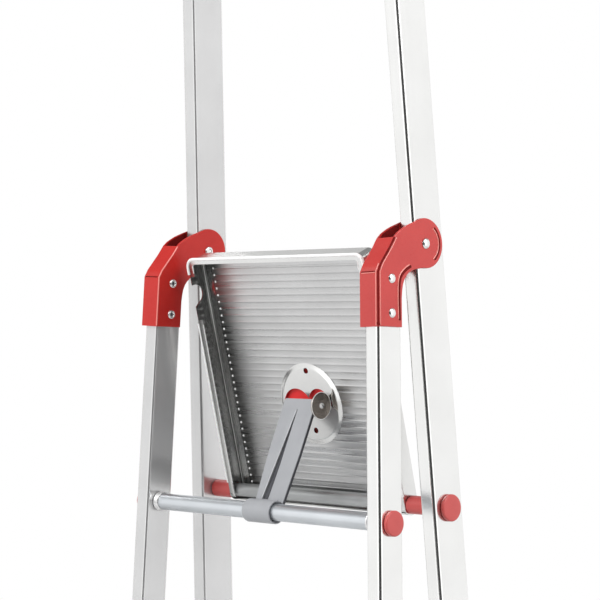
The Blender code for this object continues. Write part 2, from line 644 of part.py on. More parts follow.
# ---------------------------------------------------------------- pivot dish and its fittings
dish_back = TRAY_UNDER - FIT
dish = disc_between("pivot_dish", DISH_FACE, dish_back, DISH_X, DISH_Z, DISH_FACE_RADIUS,
                    DISH_RADIUS, 56)
for label, x, z, radius in DISH_HOLES:
    cutter = disc_between("dish_hole_" + label, 0.0, 0.02, x, z, radius, radius, 40)
    combine(dish, cutter, "DIFFERENCE", tray_frame)
slot = solid_outline("dish_slot", [rounded_box(-0.0275, 0.0275, 0.0725, 0.118, 0.004)],
                     0.0, 0.02, "XZ")
combine(dish, slot, "DIFFERENCE", tray_frame)
for label, x, z in SCREWS:
    hole = disc_between("dish_screw_hole_" + label, 0.0, 0.02, x, z, SCREW_HOLE, SCREW_HOLE, 16)
    combine(dish, hole, "DIFFERENCE", tray_frame)
lug_loop = [(0.0095, 0.102), (0.0095, 0.118), (PIVOT_Y + 0.003, 0.1178)]
lug_loop += arc(PIVOT_Y, PIVOT_Z, 0.0085, 70, 290, 12)
lug_loop += [(PIVOT_Y + 0.003, 0.1022)]
lug = solid_outline("dish_lug", [lug_loop], LUG_X[0], LUG_X[1], "YZ")
combine(dish, lug, "UNION", tray_frame)
stub = rod_between("dish_pin_stub", PIN_STUB_X[0], PIN_STUB_X[1], PIVOT_Y, PIVOT_Z,
                   PIN_STUB_RADIUS, 20)
combine(dish, stub, "UNION", tray_frame)
place(dish, tray_frame, look=ALLOY_SHEET)
shade_round(dish)

profile = [(0.0, 0.0), (PIN_DISC_RADIUS, 0.0), (PIN_DISC_RADIUS, 0.0016),
           (PIN_DISC_RADIUS - 0.0005, 0.0020), (0.0040, 0.0020), (0.0037, 0.0030),
           (0.0022, 0.0038), (0.0, 0.0040)]
disc = spun("pin_disc", profile, 40)
place(disc, tray_frame, (PIN_DISC_X, PIVOT_Y, PIVOT_Z), look=STEEL)
shade_round(disc)

cover_low = TRAY_TOP + FIT
cover = solid_outline("release_cover", [rounded_box(-0.046, 0.042, 0.0595, 0.138, 0.012, 4)],
                      cover_low, cover_low + COVER_HEIGHT, "XZ")
soften(cover, COVER_EDGE, 3, 50.0)
trim = block("cover_trim", -0.1, 0.1, cover_low - 0.02, cover_low + 0.0001, 0.0, 0.2)
combine(cover, trim, "DIFFERENCE", tray_frame)
hollow = solid_outline("cover_hollow", [rounded_box(-0.0415, 0.0375, 0.0640, 0.1335, 0.008, 3)],
                       cover_low - 0.01, cover_low + COVER_HEIGHT - COVER_ROOF, "XZ")
combine(cover, hollow, "DIFFERENCE", tray_frame)
place(cover, tray_frame, look=RED_PLASTIC)

# ---------------------------------------------------------------- support lever
blade_loop = [(-0.0200, 0.0075), (0.0230, 0.0075), (0.0255, 0.0700), (0.0255, LEVER_LENGTH - 0.0015),
              (0.0243, LEVER_LENGTH), (-0.0225, LEVER_LENGTH), (-0.0240, LEVER_LENGTH - 0.0015),
              (-0.0236, 0.0700)]
lever = solid_outline("support_lever", [blade_loop], 0.0, LEVER_THICK, "XZ")
groove = solid_outline("lever_groove", [[(-0.0105, 0.0160), (0.0010, 0.0160), (0.0010, 0.1220),
                                         (0.0002, 0.1220)]], -0.002, LEVER_THICK - 0.0014, "XZ")
for shape in (lever, groove):
    for vert in shape.data.vertices:
        vert.co.y += BLADE_START + BLADE_SLOPE * vert.co.z
combine(lever, groove, "DIFFERENCE", lever_frame)
hub = rod_between("lever_hub", HUB_LEFT, HUB_RIGHT, 0.0, 0.0, HUB_RADIUS, 40)
combine(lever, hub, "UNION", lever_frame)
bore = rod_between("lever_bore", -0.05, 0.05, 0.0, 0.0, REST_ROD_RADIUS + FIT, 36)
combine(lever, bore, "DIFFERENCE", lever_frame)
place(lever, lever_frame, look=GREY_CAST)
shade_round(lever)
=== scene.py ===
"""Looks of the nearly folded platform step ladder: studio, materials and finished meshes."""

import json
import math

import bmesh
import bpy
from mathutils import Matrix, Vector


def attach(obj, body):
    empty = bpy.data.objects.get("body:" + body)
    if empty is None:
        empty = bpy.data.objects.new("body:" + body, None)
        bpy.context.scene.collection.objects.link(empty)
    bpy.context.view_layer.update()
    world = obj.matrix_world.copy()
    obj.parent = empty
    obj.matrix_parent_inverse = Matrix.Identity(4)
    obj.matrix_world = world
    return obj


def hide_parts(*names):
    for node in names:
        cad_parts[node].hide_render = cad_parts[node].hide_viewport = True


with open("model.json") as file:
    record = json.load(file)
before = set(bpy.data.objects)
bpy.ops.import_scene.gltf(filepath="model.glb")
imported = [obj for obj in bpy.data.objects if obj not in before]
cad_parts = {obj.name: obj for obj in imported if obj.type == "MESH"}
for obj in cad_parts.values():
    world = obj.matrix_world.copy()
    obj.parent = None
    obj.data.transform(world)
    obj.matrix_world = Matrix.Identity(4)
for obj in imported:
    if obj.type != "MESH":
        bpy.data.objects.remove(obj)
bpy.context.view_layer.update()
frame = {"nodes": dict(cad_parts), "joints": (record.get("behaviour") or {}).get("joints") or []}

# ---------------------------------------------------------------- driving dimensions, in metres
FRONT_LEAN = math.radians(3.65)
REAR_LEAN = math.radians(-1.90)
TRAY_LEAN = math.radians(14.0)
LEVER_LEAN = math.radians(-26.19)
SPLAY = 0.041
SPLAY_ANGLE = math.atan(SPLAY)
OUTER_HALF = 0.1803
RAIL_WIDTH = 0.020
RAIL_CORNER = {-1: 0.0028, 1: 0.0040}
RAIL_WALL = 0.0013
STILE_DEPTH = 0.0465
LEG_DEPTH = 0.036
STILE_Y = 0.0094
LEG_Y = -0.0535
STILE_TOP = 0.385
RAIL_BOTTOM = -1.437
LEG_TOP = -0.0362
PLATFORM_ROD_Z = -0.282
REST_ROD_Z = -0.293
GUARD_RAIL_Z = 0.345
PLATFORM_ROD_RADIUS = 0.008
REST_ROD_RADIUS = 0.0095
ROD_WALL = 0.0016
ROD_END_GAP = 0.0012
PLATFORM_CAP_RADIUS = 0.0145
REST_CAP_RADIUS = 0.0135
CAP_STEM_PLAY = 0.0007
BORE_PLAY = 0.0003
TRAY_BORE_RADIUS = 0.0087
BRACKET_WALL = 0.0022
BRACKET_CLEAR = 0.0010
LOBE_Y = 0.0006
LOBE_RADIUS = 0.0267
RIVET_HEIGHTS = (("upper", -0.040), ("lower", -0.076))
TRAY_HALF = 0.1385
TRAY_WALL = 0.0015
TRAY_UNDER = 0.011
TRAY_TOP = 0.0125
TRAY_RIM = -0.0113
TRAY_END = 0.2797
TRAY_END_SLOPE = 0.0043 / (TRAY_TOP - TRAY_RIM)
TRAY_CORNER = 0.010
HEM_GAP_LOW = 0.209
HEM_GAP_HIGH = 0.260
SEAT_Y = -0.008
SEAT_Z = 0.239
SEAT_RADIUS = 0.011
HEM = 0.008
END_HEM = 0.0052
NOSE_Y = 0.0006
NOSE_RADIUS = 0.0119
CURL_RADIUS = 0.0118
CURL_END = -120
PIVOT_Y = -0.0075
PIVOT_Z = 0.110
DISH_X = 0.0015
DISH_Z = 0.106
DISH_RADIUS = 0.0475
DISH_FACE = 0.0088
DISH_OPENING = 0.0450
SCREW_SPOTS = (("top", 0.0034, 0.1450), ("right", 0.0330, 0.1080), ("bottom", 0.0034, 0.0755))
PIN_DISC_X = 0.0333
LEVER_LENGTH = 0.1355
LEVER_THICK = 0.0036
BLADE_Y = 0.0034
BLADE_SLOPE = 0.0325
HUB_RADIUS = 0.013
SIDES = (("left", -1), ("right", 1))


def pivot_of(name):
    """World position of a joint's axis at the middle of the ladder."""
    for joint in frame["joints"]:
        if joint["name"] == name:
            return Vector(joint["pos_m"])
    raise ValueError(name)


HINGE = pivot_of("rear_frame_fold")
FRONT = Matrix.Translation(HINGE) @ Matrix.Rotation(FRONT_LEAN, 4, "X")
REAR = Matrix.Translation(HINGE) @ Matrix.Rotation(REAR_LEAN, 4, "X")
TRAY = Matrix.Translation(pivot_of("platform_fold")) @ Matrix.Rotation(TRAY_LEAN, 4, "X")
LEVER = Matrix.Translation(pivot_of("lever_swing")) @ Matrix.Rotation(LEVER_LEAN, 4, "X")


def rail_place(base, side, y=0.0, z=0.0):
    """A frame on a rail's centre plane, tilted with the rail, at height z along the base frame."""
    across = side * (OUTER_HALF - RAIL_WIDTH / 2.0)
    tilt = Matrix.Rotation(-side * SPLAY_ANGLE, 4, "Y")
    return base @ Matrix.Translation((across, y, 0.0)) @ tilt @ Matrix.Translation((0.0, 0.0, z))


# ---------------------------------------------------------------- node helpers
def new_material(name):
    mat = bpy.data.materials.new(name)
    mat.use_nodes = True
    return mat, mat.node_tree.nodes, mat.node_tree.links, mat.node_tree.nodes["Principled BSDF"]


def object_coords(nodes, links, scale=(1.0, 1.0, 1.0)):
    coords = nodes.new("ShaderNodeTexCoord")
    mapping = nodes.new("ShaderNodeMapping")
    mapping.inputs["Scale"].default_value = scale
    links.new(coords.outputs["Object"], mapping.inputs["Vector"])
    return mapping.outputs["Vector"]


def noise(nodes, links, vector, scale, detail=4.0, roughness=0.55):
    tex = nodes.new("ShaderNodeTexNoise")
    tex.inputs["Scale"].default_value = scale
    tex.inputs["Detail"].default_value = detail
    tex.inputs["Roughness"].default_value = roughness
    links.new(vector, tex.inputs["Vector"])
    return tex.outputs["Fac"]


def ramp(nodes, links, value, low, high, a=0.3, b=0.7):
    """Colour or grey that runs from low to high as value goes from a to b."""
    stops = nodes.new("ShaderNodeValToRGB")
    stops.color_ramp.elements[0].position = a
    stops.color_ramp.elements[1].position = b
    stops.color_ramp.elements[0].color = low
    stops.color_ramp.elements[1].color = high
    links.new(value, stops.inputs["Fac"])
    return stops.outputs["Color"]


def grey(level):
    return (level, level, level, 1.0)


def map_range(nodes, links, value, a, b, low, high):
    node = nodes.new("ShaderNodeMapRange")
    node.interpolation_type = "SMOOTHSTEP"
    node.inputs["From Min"].default_value = a
    node.inputs["From Max"].default_value = b
    node.inputs["To Min"].default_value = low
    node.inputs["To Max"].default_value = high
    links.new(value, node.inputs["Value"])
    return node.outputs["Result"]


def bump(nodes, links, height, strength, distance):
    node = nodes.new("ShaderNodeBump")
    node.inputs["Strength"].default_value = strength
    node.inputs["Distance"].default_value = distance
    links.new(height, node.inputs["Height"])
    return node.outputs["Normal"]


# ---------------------------------------------------------------- materials
def brushed_metal(name, low, high, rough_low, rough_high, along, metallic=1.0, lines=0.06):
    """Bare metal with fine lines along one axis: along is the mapping scale, small on that axis."""
    mat, nodes, links, shader = new_material(name)
    stretched = object_coords(nodes, links, along)
    plain = object_coords(nodes, links)
    streaks = noise(nodes, links, stretched, 1.0, 3.0)
    clouds = noise(nodes, links, plain, 14.0, 4.0)
    links.new(ramp(nodes, links, clouds, low, high), shader.inputs["Base Color"])
    links.new(ramp(nodes, links, streaks, grey(rough_low), grey(rough_high)), shader.inputs["Roughness"])
    links.new(bump(nodes, links, streaks, lines, 0.0004), shader.inputs["Normal"])
    shader.inputs["Metallic"].default_value = metallic
    return mat


def painted(name, low, high, roughness, coat, peel_scale, peel, wear=None, specular=None):
    """Paint or moulded plastic: slight colour clouds, fine peel and an optional rubbed tint."""
    mat, nodes, links, shader = new_material(name)
    plain = object_coords(nodes, links)
    clouds = noise(nodes, links, plain, 35.0, 5.0)
    fine = noise(nodes, links, plain, peel_scale, 2.0)
    color = ramp(nodes, links, clouds, low, high)
    if wear is not None:
        scuffs = noise(nodes, links, object_coords(nodes, links, (1.0, 1.0, 0.35)), 160.0, 6.0, 0.7)
        mask = ramp(nodes, links, scuffs, grey(0.0), grey(0.35), 0.66, 0.80)
        mix = nodes.new("ShaderNodeMix")
        mix.data_type = "RGBA"
        links.new(mask, mix.inputs["Factor"])
        links.new(color, mix.inputs["A"])
        mix.inputs["B"].default_value = wear
        color = mix.outputs["Result"]
    links.new(color, shader.inputs["Base Color"])
    links.new(ramp(nodes, links, fine, grey(roughness - 0.04), grey(roughness + 0.06)),
              shader.inputs["Roughness"])
    links.new(bump(nodes, links, fine, peel, 0.0003), shader.inputs["Normal"])
    shader.inputs["Coat Weight"].default_value = coat
    shader.inputs["Coat Roughness"].default_value = 0.18
    if specular is not None:
        shader.inputs["Specular IOR Level"].default_value = specular
    return mat


def paint_shade_towards_flange(mat, dark_x, unshaded_x, amount):
    """Painted shade: darken the colour from the lit x to dark_x, toward the tray's left side, as a painted
    dark reflection of the flange.
    """
    nodes = mat.node_tree.nodes
    links = mat.node_tree.links
    base = nodes["Principled BSDF"].inputs["Base Color"]
    unshaded = base.links[0].from_socket
    across = nodes.new("ShaderNodeSeparateXYZ")
    links.new(object_coords(nodes, links), across.inputs[0])
    reach = map_range(nodes, links, across.outputs["X"], dark_x, unshaded_x, amount, 0.0)
    mix = nodes.new("ShaderNodeMix")
    mix.data_type = "RGBA"
    links.new(reach, mix.inputs["Factor"])
    links.new(unshaded, mix.inputs["A"])
    mix.inputs["B"].default_value = (0.14, 0.14, 0.135, 1.0)
    links.new(mix.outputs["Result"], base)


# Mapping scales for lines brushed along the named axis.
BRUSHED_Z = (900.0, 900.0, 2.5)
BRUSHED_X = (3.0, 700.0, 700.0)
# The shade and shaded twins stand in for a darker reflection in the photograph, not another metal.

RAIL_METAL = brushed_metal("rail_aluminium", (0.84, 0.84, 0.83, 1), (0.90, 0.90, 0.89, 1),
                           0.16, 0.24, BRUSHED_Z, lines=0.02)
RAIL_SHADE = brushed_metal("rail_aluminium_shade", (0.64, 0.64, 0.64, 1), (0.70, 0.70, 0.70, 1),
                           0.16, 0.24, BRUSHED_Z, metallic=0.72, lines=0.02)
# Painted highlight: a bright matte metal for thin rims, bend lines, rib ends and rivet heads that catch the
# light.
HIGHLIGHT_METAL = brushed_metal("aluminium_painted_highlight", (0.92, 0.92, 0.91, 1), (0.97, 0.97, 0.96, 1),
                           0.26, 0.36, (200.0, 200.0, 200.0), metallic=0.0, lines=0.02)
CURL_METAL = brushed_metal("curl_aluminium", (0.40, 0.40, 0.39, 1), (0.72, 0.72, 0.71, 1),
                           0.20, 0.30, (4.0, 320.0, 320.0), metallic=0.8, lines=0.03)
SHADED_ROD = brushed_metal("shaded_rod_aluminium", (0.40, 0.41, 0.41, 1), (0.50, 0.51, 0.51, 1),
                           0.30, 0.38, BRUSHED_X, metallic=0.72, lines=0.04)
PANEL_METAL = brushed_metal("panel_aluminium", (0.57, 0.57, 0.57, 1), (0.64, 0.64, 0.64, 1),
                            0.25, 0.33, (6.0, 320.0, 320.0), lines=0.03)
# Painted shade: the ribbed panel darkens toward its left side, a painted dark reflection of the flange.
paint_shade_towards_flange(PANEL_METAL, -0.124, -0.080, 0.66)
CROSS_METAL = brushed_metal("cross_aluminium", (0.80, 0.80, 0.80, 1), (0.87, 0.87, 0.87, 1),
                            0.24, 0.36, (2.5, 900.0, 900.0), metallic=0.6, lines=0.05)
ROD_METAL = brushed_metal("rod_aluminium", (0.62, 0.65, 0.68, 1), (0.70, 0.73, 0.76, 1),
                          0.28, 0.36, BRUSHED_X, metallic=0.92, lines=0.04)
SHEET_METAL = brushed_metal("sheet_aluminium", (0.74, 0.74, 0.73, 1), (0.80, 0.80, 0.79, 1),
                            0.17, 0.23, (4.0, 260.0, 260.0), lines=0.004)
# Painted shade on the pan's left flange.
paint_shade_towards_flange(SHEET_METAL, -0.1360, -0.1300, 0.60)
RIVET_METAL = brushed_metal("rivet_steel", (0.80, 0.80, 0.79, 1), (0.88, 0.88, 0.87, 1),
                            0.18, 0.30, (120.0, 120.0, 120.0), lines=0.004)
DISC_METAL = brushed_metal("disc_steel", (0.24, 0.21, 0.19, 1), (0.36, 0.32, 0.28, 1),
                           0.14, 0.24, (60.0, 90.0, 30.0), lines=0.01)
LEVER_GREY = painted("lever_grey", (0.355, 0.365, 0.385, 1), (0.395, 0.405, 0.425, 1), 0.42, 0.10, 900.0,
                     0.05, (0.44, 0.45, 0.47, 1))
SHADE_GREY = painted("lever_shade", (0.045, 0.047, 0.055, 1), (0.075, 0.078, 0.090, 1), 0.55, 0.0, 900.0,
                     0.05)
# Painted highlight: a light grey for the bright lip of the lever's groove.
LIP_HIGHLIGHT_GREY = painted("lever_lip_highlight", (0.60, 0.61, 0.63, 1), (0.66, 0.67, 0.69, 1), 0.35, 0.10, 900.0, 0.05)
BRACKET_RED = painted("bracket_red", (0.49, 0.026, 0.022, 1), (0.54, 0.034, 0.028, 1), 0.30, 0.30,
                      1100.0, 0.05, (0.60, 0.10, 0.09, 1))
BRACKET_SHADE = painted("bracket_red_shade", (0.50, 0.018, 0.014, 1), (0.55, 0.024, 0.018, 1), 0.30, 0.10,
                        1100.0, 0.05, (0.60, 0.09, 0.08, 1), specular=0.25)
PLASTIC_RED = painted("plastic_red", (0.50, 0.060, 0.056, 1), (0.55, 0.072, 0.066, 1), 0.40, 0.15,
                      1600.0, 0.06)
COVER_RED = painted("cover_red", (0.78, 0.010, 0.012, 1), (0.84, 0.014, 0.016, 1), 0.50, 0.0, 1600.0, 0.06)
# Dark red; on the brackets it is painted shade in the folds, creases and grooves and on their shadowed
# inside.
DEEP_RED = painted("deep_red", (0.13, 0.002, 0.002, 1), (0.18, 0.004, 0.003, 1), 0.60, 0.0, 1100.0, 0.05,
                   specular=0.12)
# Painted highlight: light red for the thin beads along the brackets' edges and pressings.
HIGHLIGHT_RED = painted("red_painted_highlight", (0.80, 0.22, 0.19, 1), (0.86, 0.28, 0.24, 1), 0.32, 0.4, 1100.0, 0.05)
RUBBER = painted("foot_rubber", (0.022, 0.022, 0.023, 1), (0.040, 0.040, 0.041, 1), 0.72, 0.0,
                 500.0, 0.25, (0.10, 0.10, 0.10, 1))


# ---------------------------------------------------------------- mesh helpers
def arc(cx, cy, radius, start, end, steps):
    points = []
    for i in range(steps + 1):
        a = math.radians(start + (end - start) * i / steps)
        points.append((cx + radius * math.cos(a), cy + radius * math.sin(a)))
    return points


def rounded_box(x0, x1, y0, y1, radius, steps=5):
    loop = arc(x1 - radius, y1 - radius, radius, 0, 90, steps)
    loop += arc(x0 + radius, y1 - radius, radius, 90, 180, steps)
    loop += arc(x0 + radius, y0 + radius, radius, 180, 270, steps)
    loop += arc(x1 - radius, y0 + radius, radius, 270, 360, steps)
    return loop


PLANE_TURN = {
    "XY": Matrix.Identity(4),
    "YZ": Matrix(((0, 0, 1), (1, 0, 0), (0, 1, 0))).to_4x4(),
    "XZ": Matrix(((1, 0, 0), (0, 0, 1), (0, 1, 0))).to_4x4(),
}


AXIS_TURN = {
    "X": Matrix.Rotation(math.radians(90), 3, "Y"),
    "Y": Matrix.Rotation(math.radians(-90), 3, "X"),
}


def from_bmesh(bm, name):
    """A new object, not yet in the scene, from a bmesh, which is freed."""
    mesh = bpy.data.meshes.new(name)
    bm.to_mesh(mesh)
    bm.free()
    return bpy.data.objects.new(name, mesh)


def evaluated(ob):
    """The object's finished mesh as a new object; the source object is removed."""
    name = ob.name
    depsgraph = bpy.context.evaluated_depsgraph_get()
    mesh = bpy.data.meshes.new_from_object(ob.evaluated_get(depsgraph))
    bpy.data.objects.remove(ob)
    fresh = bpy.data.objects.new(name, mesh)
    fresh.name = name
    mesh.name = name
    return fresh


def outline(name, loops, low, high, plane, edge=0.0, edge_steps=2):
    """A plate with the given outline from low to high, its rims rounded by edge."""
    curve = bpy.data.curves.new(name, "CURVE")
    curve.dimensions = "2D"
    curve.fill_mode = "BOTH"
    curve.extrude = (high - low) / 2.0 - edge
    curve.bevel_depth = edge
    curve.bevel_resolution = edge_steps
    curve.offset = -edge
    for loop in loops:
        spline = curve.splines.new("POLY")
        spline.points.add(len(loop) - 1)
        for point, (u, v) in zip(spline.points, loop):
            point.co = (u, v, 0.0, 1.0)
        spline.use_cyclic_u = True
    drawn = bpy.data.objects.new(name, curve)
    bpy.context.scene.collection.objects.link(drawn)
    ob = evaluated(drawn)
    bm = bmesh.new()
    bm.from_mesh(ob.data)
    bmesh.ops.remove_doubles(bm, verts=bm.verts, dist=0.00002)
    bmesh.ops.translate(bm, verts=bm.verts, vec=(0.0, 0.0, (low + high) / 2.0))
    bmesh.ops.transform(bm, matrix=PLANE_TURN[plane], verts=bm.verts)
    bmesh.ops.recalc_face_normals(bm, faces=bm.faces)
    bm.to_mesh(ob.data)
    bm.free()
    return ob


def cylinder(name, low, high, radius, axis, centre, segments):
    bm = bmesh.new()
    bmesh.ops.create_cone(bm, cap_ends=True, segments=segments, radius1=radius, radius2=radius,
                          depth=high - low)
    bmesh.ops.translate(bm, verts=bm.verts, vec=(0.0, 0.0, (low + high) / 2.0))
    bmesh.ops.rotate(bm, verts=bm.verts, matrix=AXIS_TURN[axis])
    bmesh.ops.translate(bm, verts=bm.verts, vec=centre)
    return from_bmesh(bm, name)


def block(name, x0, x1, y0, y1, z0, z1):
    bm = bmesh.new()
    bmesh.ops.create_cube(bm, size=1.0)
    bmesh.ops.scale(bm, verts=bm.verts, vec=(x1 - x0, y1 - y0, z1 - z0))
    bmesh.ops.translate(bm, verts=bm.verts, vec=((x0 + x1) / 2.0, (y0 + y1) / 2.0, (z0 + z1) / 2.0))
    return from_bmesh(bm, name)


def spun(name, profile, steps=64, axis="X"):
    """Revolve (radius, height) pairs about local X or Y."""
    mesh = bpy.data.meshes.new(name)
    mesh.from_pydata([(r, 0.0, h) for r, h in profile], [(i, i + 1) for i in range(len(profile) - 1)], [])
    ob = bpy.data.objects.new(name, mesh)
    bpy.context.scene.collection.objects.link(ob)
    screw = ob.modifiers.new("revolve", "SCREW")
    screw.steps = steps
    screw.render_steps = steps
    screw.use_merge_vertices = True
    screw.merge_threshold = 0.00003
    ob = evaluated(ob)
    bm = bmesh.new()
    bm.from_mesh(ob.data)
    bmesh.ops.remove_doubles(bm, verts=bm.verts, dist=0.00001)
    bmesh.ops.rotate(bm, verts=bm.verts, matrix=AXIS_TURN[axis])
    bmesh.ops.recalc_face_normals(bm, faces=bm.faces)
    bm.to_mesh(ob.data)
    bm.free()
    return ob


def tube_path(name, points, radius):
    """A round bar along 3D points, ends filled."""
    curve = bpy.data.curves.new(name, "CURVE")
    curve.dimensions = "3D"
    curve.bevel_depth = radius
    curve.bevel_resolution = 4
    curve.use_fill_caps = True
    spline = curve.splines.new("POLY")
    spline.points.add(len(points) - 1)
    for point, co in zip(spline.points, points):
        point.co = (*co, 1.0)
    drawn = bpy.data.objects.new(name, curve)
    bpy.context.scene.collection.objects.link(drawn)
    ob = evaluated(drawn)
    bm = bmesh.new()
    bm.from_mesh(ob.data)
    bmesh.ops.remove_doubles(bm, verts=bm.verts, dist=0.00001)
    bmesh.ops.recalc_face_normals(bm, faces=bm.faces)
    bm.to_mesh(ob.data)
    bm.free()
    return ob


def combine(ob, *steps):
    """Cut or join tools into ob: steps are (operation, tool object), all in one local frame."""
    bpy.context.scene.collection.objects.link(ob)
    for operation, tool in steps:
        bpy.context.scene.collection.objects.link(tool)
        modifier = ob.modifiers.new(tool.name, "BOOLEAN")
        modifier.operation = operation
        modifier.solver = "EXACT"
        modifier.object = tool
    done = evaluated(ob)
    for _, tool in steps:
        bpy.data.objects.remove(tool)
    return done


def cut(tool):
    return ("DIFFERENCE", tool)


def join(tool):
    return ("UNION", tool)


def transformed(ob, matrix):
    ob.data.transform(matrix)
    if matrix.determinant() < 0:
        ob.data.flip_normals()
    return ob


def finish_piece(ob, place, body, material, replaced=(), angle=32.0):
    if ob.name not in bpy.context.scene.collection.objects:
        bpy.context.scene.collection.objects.link(ob)
    ob.matrix_world = place
    ob.data.materials.clear()
    ob.data.materials.append(material)
    for polygon in ob.data.polygons:
        polygon.use_smooth = True
    ob.data.set_sharp_from_angle(angle=math.radians(angle))
    weighted = ob.modifiers.new("flat_faces_stay_flat", "WEIGHTED_NORMAL")
    weighted.weight = 100
    weighted.keep_sharp = True
    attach(ob, body)
    if replaced:
        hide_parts(*replaced)


# ---------------------------------------------------------------- camera, light and studio
CAMERA_FROM_HINGE = Vector((1.59467, -1.60034, -0.08046))
CAMERA_YAW = math.radians(44.985)
CAMERA_PITCH = math.radians(0.506)
CAMERA_LENS = 120.68
CAMERA_SHIFT_Y = 0.003
TOWARDS_CAMERA = (0.7071, -0.7071, 0.0)
# Strength of the tent over a direction: from, to, strength before, strength after.
TENT_FLANK = (0.14, 0.32, 1.0, 1.5)
TENT_FRONT = (0.66, 0.84, 1.0, 0.03)
TENT_ABOVE = (0.40, 0.64, 1.0, 0.30)
TENT_BELOW = (-0.64, -0.38, 0.55, 1.0)
SOFTBOX_ELEVATION = math.radians(38.0)
SOFTBOX_DISTANCE = 3.0
SOFTBOX_SIZE = 1.8
SOFTBOX_POWER = 54.0
FLOOR_RADIUS = 3.2

camera_data = bpy.data.cameras.new("photo_camera")
camera_data.sensor_width = 36.0
camera_data.lens = CAMERA_LENS
camera_data.shift_y = CAMERA_SHIFT_Y
camera_data.clip_end = 60.0
camera = bpy.data.objects.new("photo_camera", camera_data)
camera.location = HINGE + CAMERA_FROM_HINGE
camera.rotation_euler = (math.pi / 2.0 + CAMERA_PITCH, 0.0, CAMERA_YAW)
bpy.context.scene.collection.objects.link(camera)
bpy.context.scene.camera = camera
bpy.context.scene.view_settings.view_transform = "Standard"


def multiply(nodes, links, one, other):
    node = nodes.new("ShaderNodeMath")
    node.operation = "MULTIPLY"
    links.new(one, node.inputs[0])
    links.new(other, node.inputs[1])
    return node.outputs[0]


def studio_world():
    """A white tent, bright beside the camera, dark behind it, dim overhead and below; plain white as seen."""
    world = bpy.data.worlds.new("studio")
    world.use_nodes = True
    bpy.context.scene.world = world
    nodes = world.node_tree.nodes
    links = world.node_tree.links
    background = nodes["Background"]
    background.inputs["Color"].default_value = (1.0, 1.0, 1.0, 1.0)
    coords = nodes.new("ShaderNodeTexCoord").outputs["Generated"]
    towards = nodes.new("ShaderNodeVectorMath")
    towards.operation = "DOT_PRODUCT"
    towards.inputs[1].default_value = TOWARDS_CAMERA
    links.new(coords, towards.inputs[0])
    parts = nodes.new("ShaderNodeSeparateXYZ")
    links.new(coords, parts.inputs[0])
    flank = map_range(nodes, links, towards.outputs["Value"], *TENT_FLANK)
    front = map_range(nodes, links, towards.outputs["Value"], *TENT_FRONT)
    above = map_range(nodes, links, parts.outputs["Z"], *TENT_ABOVE)
    below = map_range(nodes, links, parts.outputs["Z"], *TENT_BELOW)
    tent = multiply(nodes, links, multiply(nodes, links, flank, front), above)
    tent = multiply(nodes, links, tent, below)
    seen = nodes.new("ShaderNodeLightPath").outputs["Is Camera Ray"]
    pale = nodes.new("ShaderNodeMix")
    links.new(seen, pale.inputs["Factor"])
    links.new(tent, pale.inputs["A"])
    pale.inputs["B"].default_value = 1.0
    links.new(pale.outputs["Result"], background.inputs["Strength"])


def softbox(name, azimuth, target):
    """A square area light, its azimuth in degrees from +X toward +Y, aimed at target."""
    data = bpy.data.lights.new(name, "AREA")
    data.shape = "SQUARE"
    data.size = SOFTBOX_SIZE
    data.energy = SOFTBOX_POWER
    light = bpy.data.objects.new(name, data)
    az = math.radians(azimuth)
    el = SOFTBOX_ELEVATION
    way = Vector((math.cos(az) * math.cos(el), math.sin(az) * math.cos(el), math.sin(el)))
    light.location = target + way * SOFTBOX_DISTANCE
    light.rotation_euler = (-way).to_track_quat("-Z", "Y").to_euler()
    bpy.context.scene.collection.objects.link(light)


def studio_floor():
    bm = bmesh.new()
    bmesh.ops.create_circle(bm, cap_ends=True, segments=128, radius=FLOOR_RADIUS)
    floor = from_bmesh(bm, "studio_floor")
    bpy.context.scene.collection.objects.link(floor)
    mat, nodes, links, shader = new_material("floor_pale")
    plain = object_coords(nodes, links)
    clouds = noise(nodes, links, plain, 3.0, 3.0)
    links.new(ramp(nodes, links, clouds, grey(0.82), grey(0.86)), shader.inputs["Base Color"])
    shader.inputs["Roughness"].default_value = 0.8
    floor.data.materials.append(mat)


studio_world()
studio_floor()
LIGHT_TARGET = HINGE + Vector((0.0, 0.0, -0.15))
softbox("softbox_right", 8.0, LIGHT_TARGET)
softbox("softbox_left", -98.0, LIGHT_TARGET)


# ---------------------------------------------------------------- rails
def build_rail(name, depth, low, high, place, body, metal, corner):
    half_w = RAIL_WIDTH / 2.0
    half_d = depth / 2.0
    outer = rounded_box(-half_w, half_w, -half_d, half_d, corner, 6)
    inner = rounded_box(-half_w + RAIL_WALL, half_w - RAIL_WALL, -half_d + RAIL_WALL,
                        half_d - RAIL_WALL, corner - RAIL_WALL, 3)
    rail = outline(name, [outer, inner], low, high, "XY")
    finish_piece(rail, place, body, metal, [name], 50.0)


for tag, side in SIDES:
    metal = RAIL_METAL if side > 0 else RAIL_SHADE
    build_rail("stile_" + tag, STILE_DEPTH, RAIL_BOTTOM, STILE_TOP,
               rail_place(FRONT, side, STILE_Y), "front_frame", metal, RAIL_CORNER[side])
    build_rail("leg_" + tag, LEG_DEPTH, RAIL_BOTTOM, LEG_TOP,
               rail_place(REAR, side, LEG_Y), "rear_frame", metal, RAIL_CORNER[side])


# ---------------------------------------------------------------- hinge brackets
def bracket_outline():
    loop = [(-0.0750, -0.0904), (-0.0750, -0.0335), (-0.0705, -0.0250), (-0.0562, -0.0070)]
    loop += [(-0.0490, 0.0038), (-0.0440, 0.0085), (-0.0390, 0.0117), (-0.0340, 0.0146)]
    loop += [(-0.0280, 0.0174), (-0.0215, 0.0200), (-0.0150, 0.0224)]
    loop += arc(LOBE_Y, 0.0, LOBE_RADIUS, 105, -98, 40)
    loop += [(-0.0100, -0.0277), (-0.0165, -0.0288), (-0.0220, -0.0305), (-0.0265, -0.0329)]
    loop += [(-0.0305, -0.0364), (-0.0336, -0.0406), (-0.0358, -0.0458), (-0.0371, -0.0520)]
    loop += [(-0.0379, -0.0600), (-0.0380, -0.0904)]
    loop.reverse()
    return loop


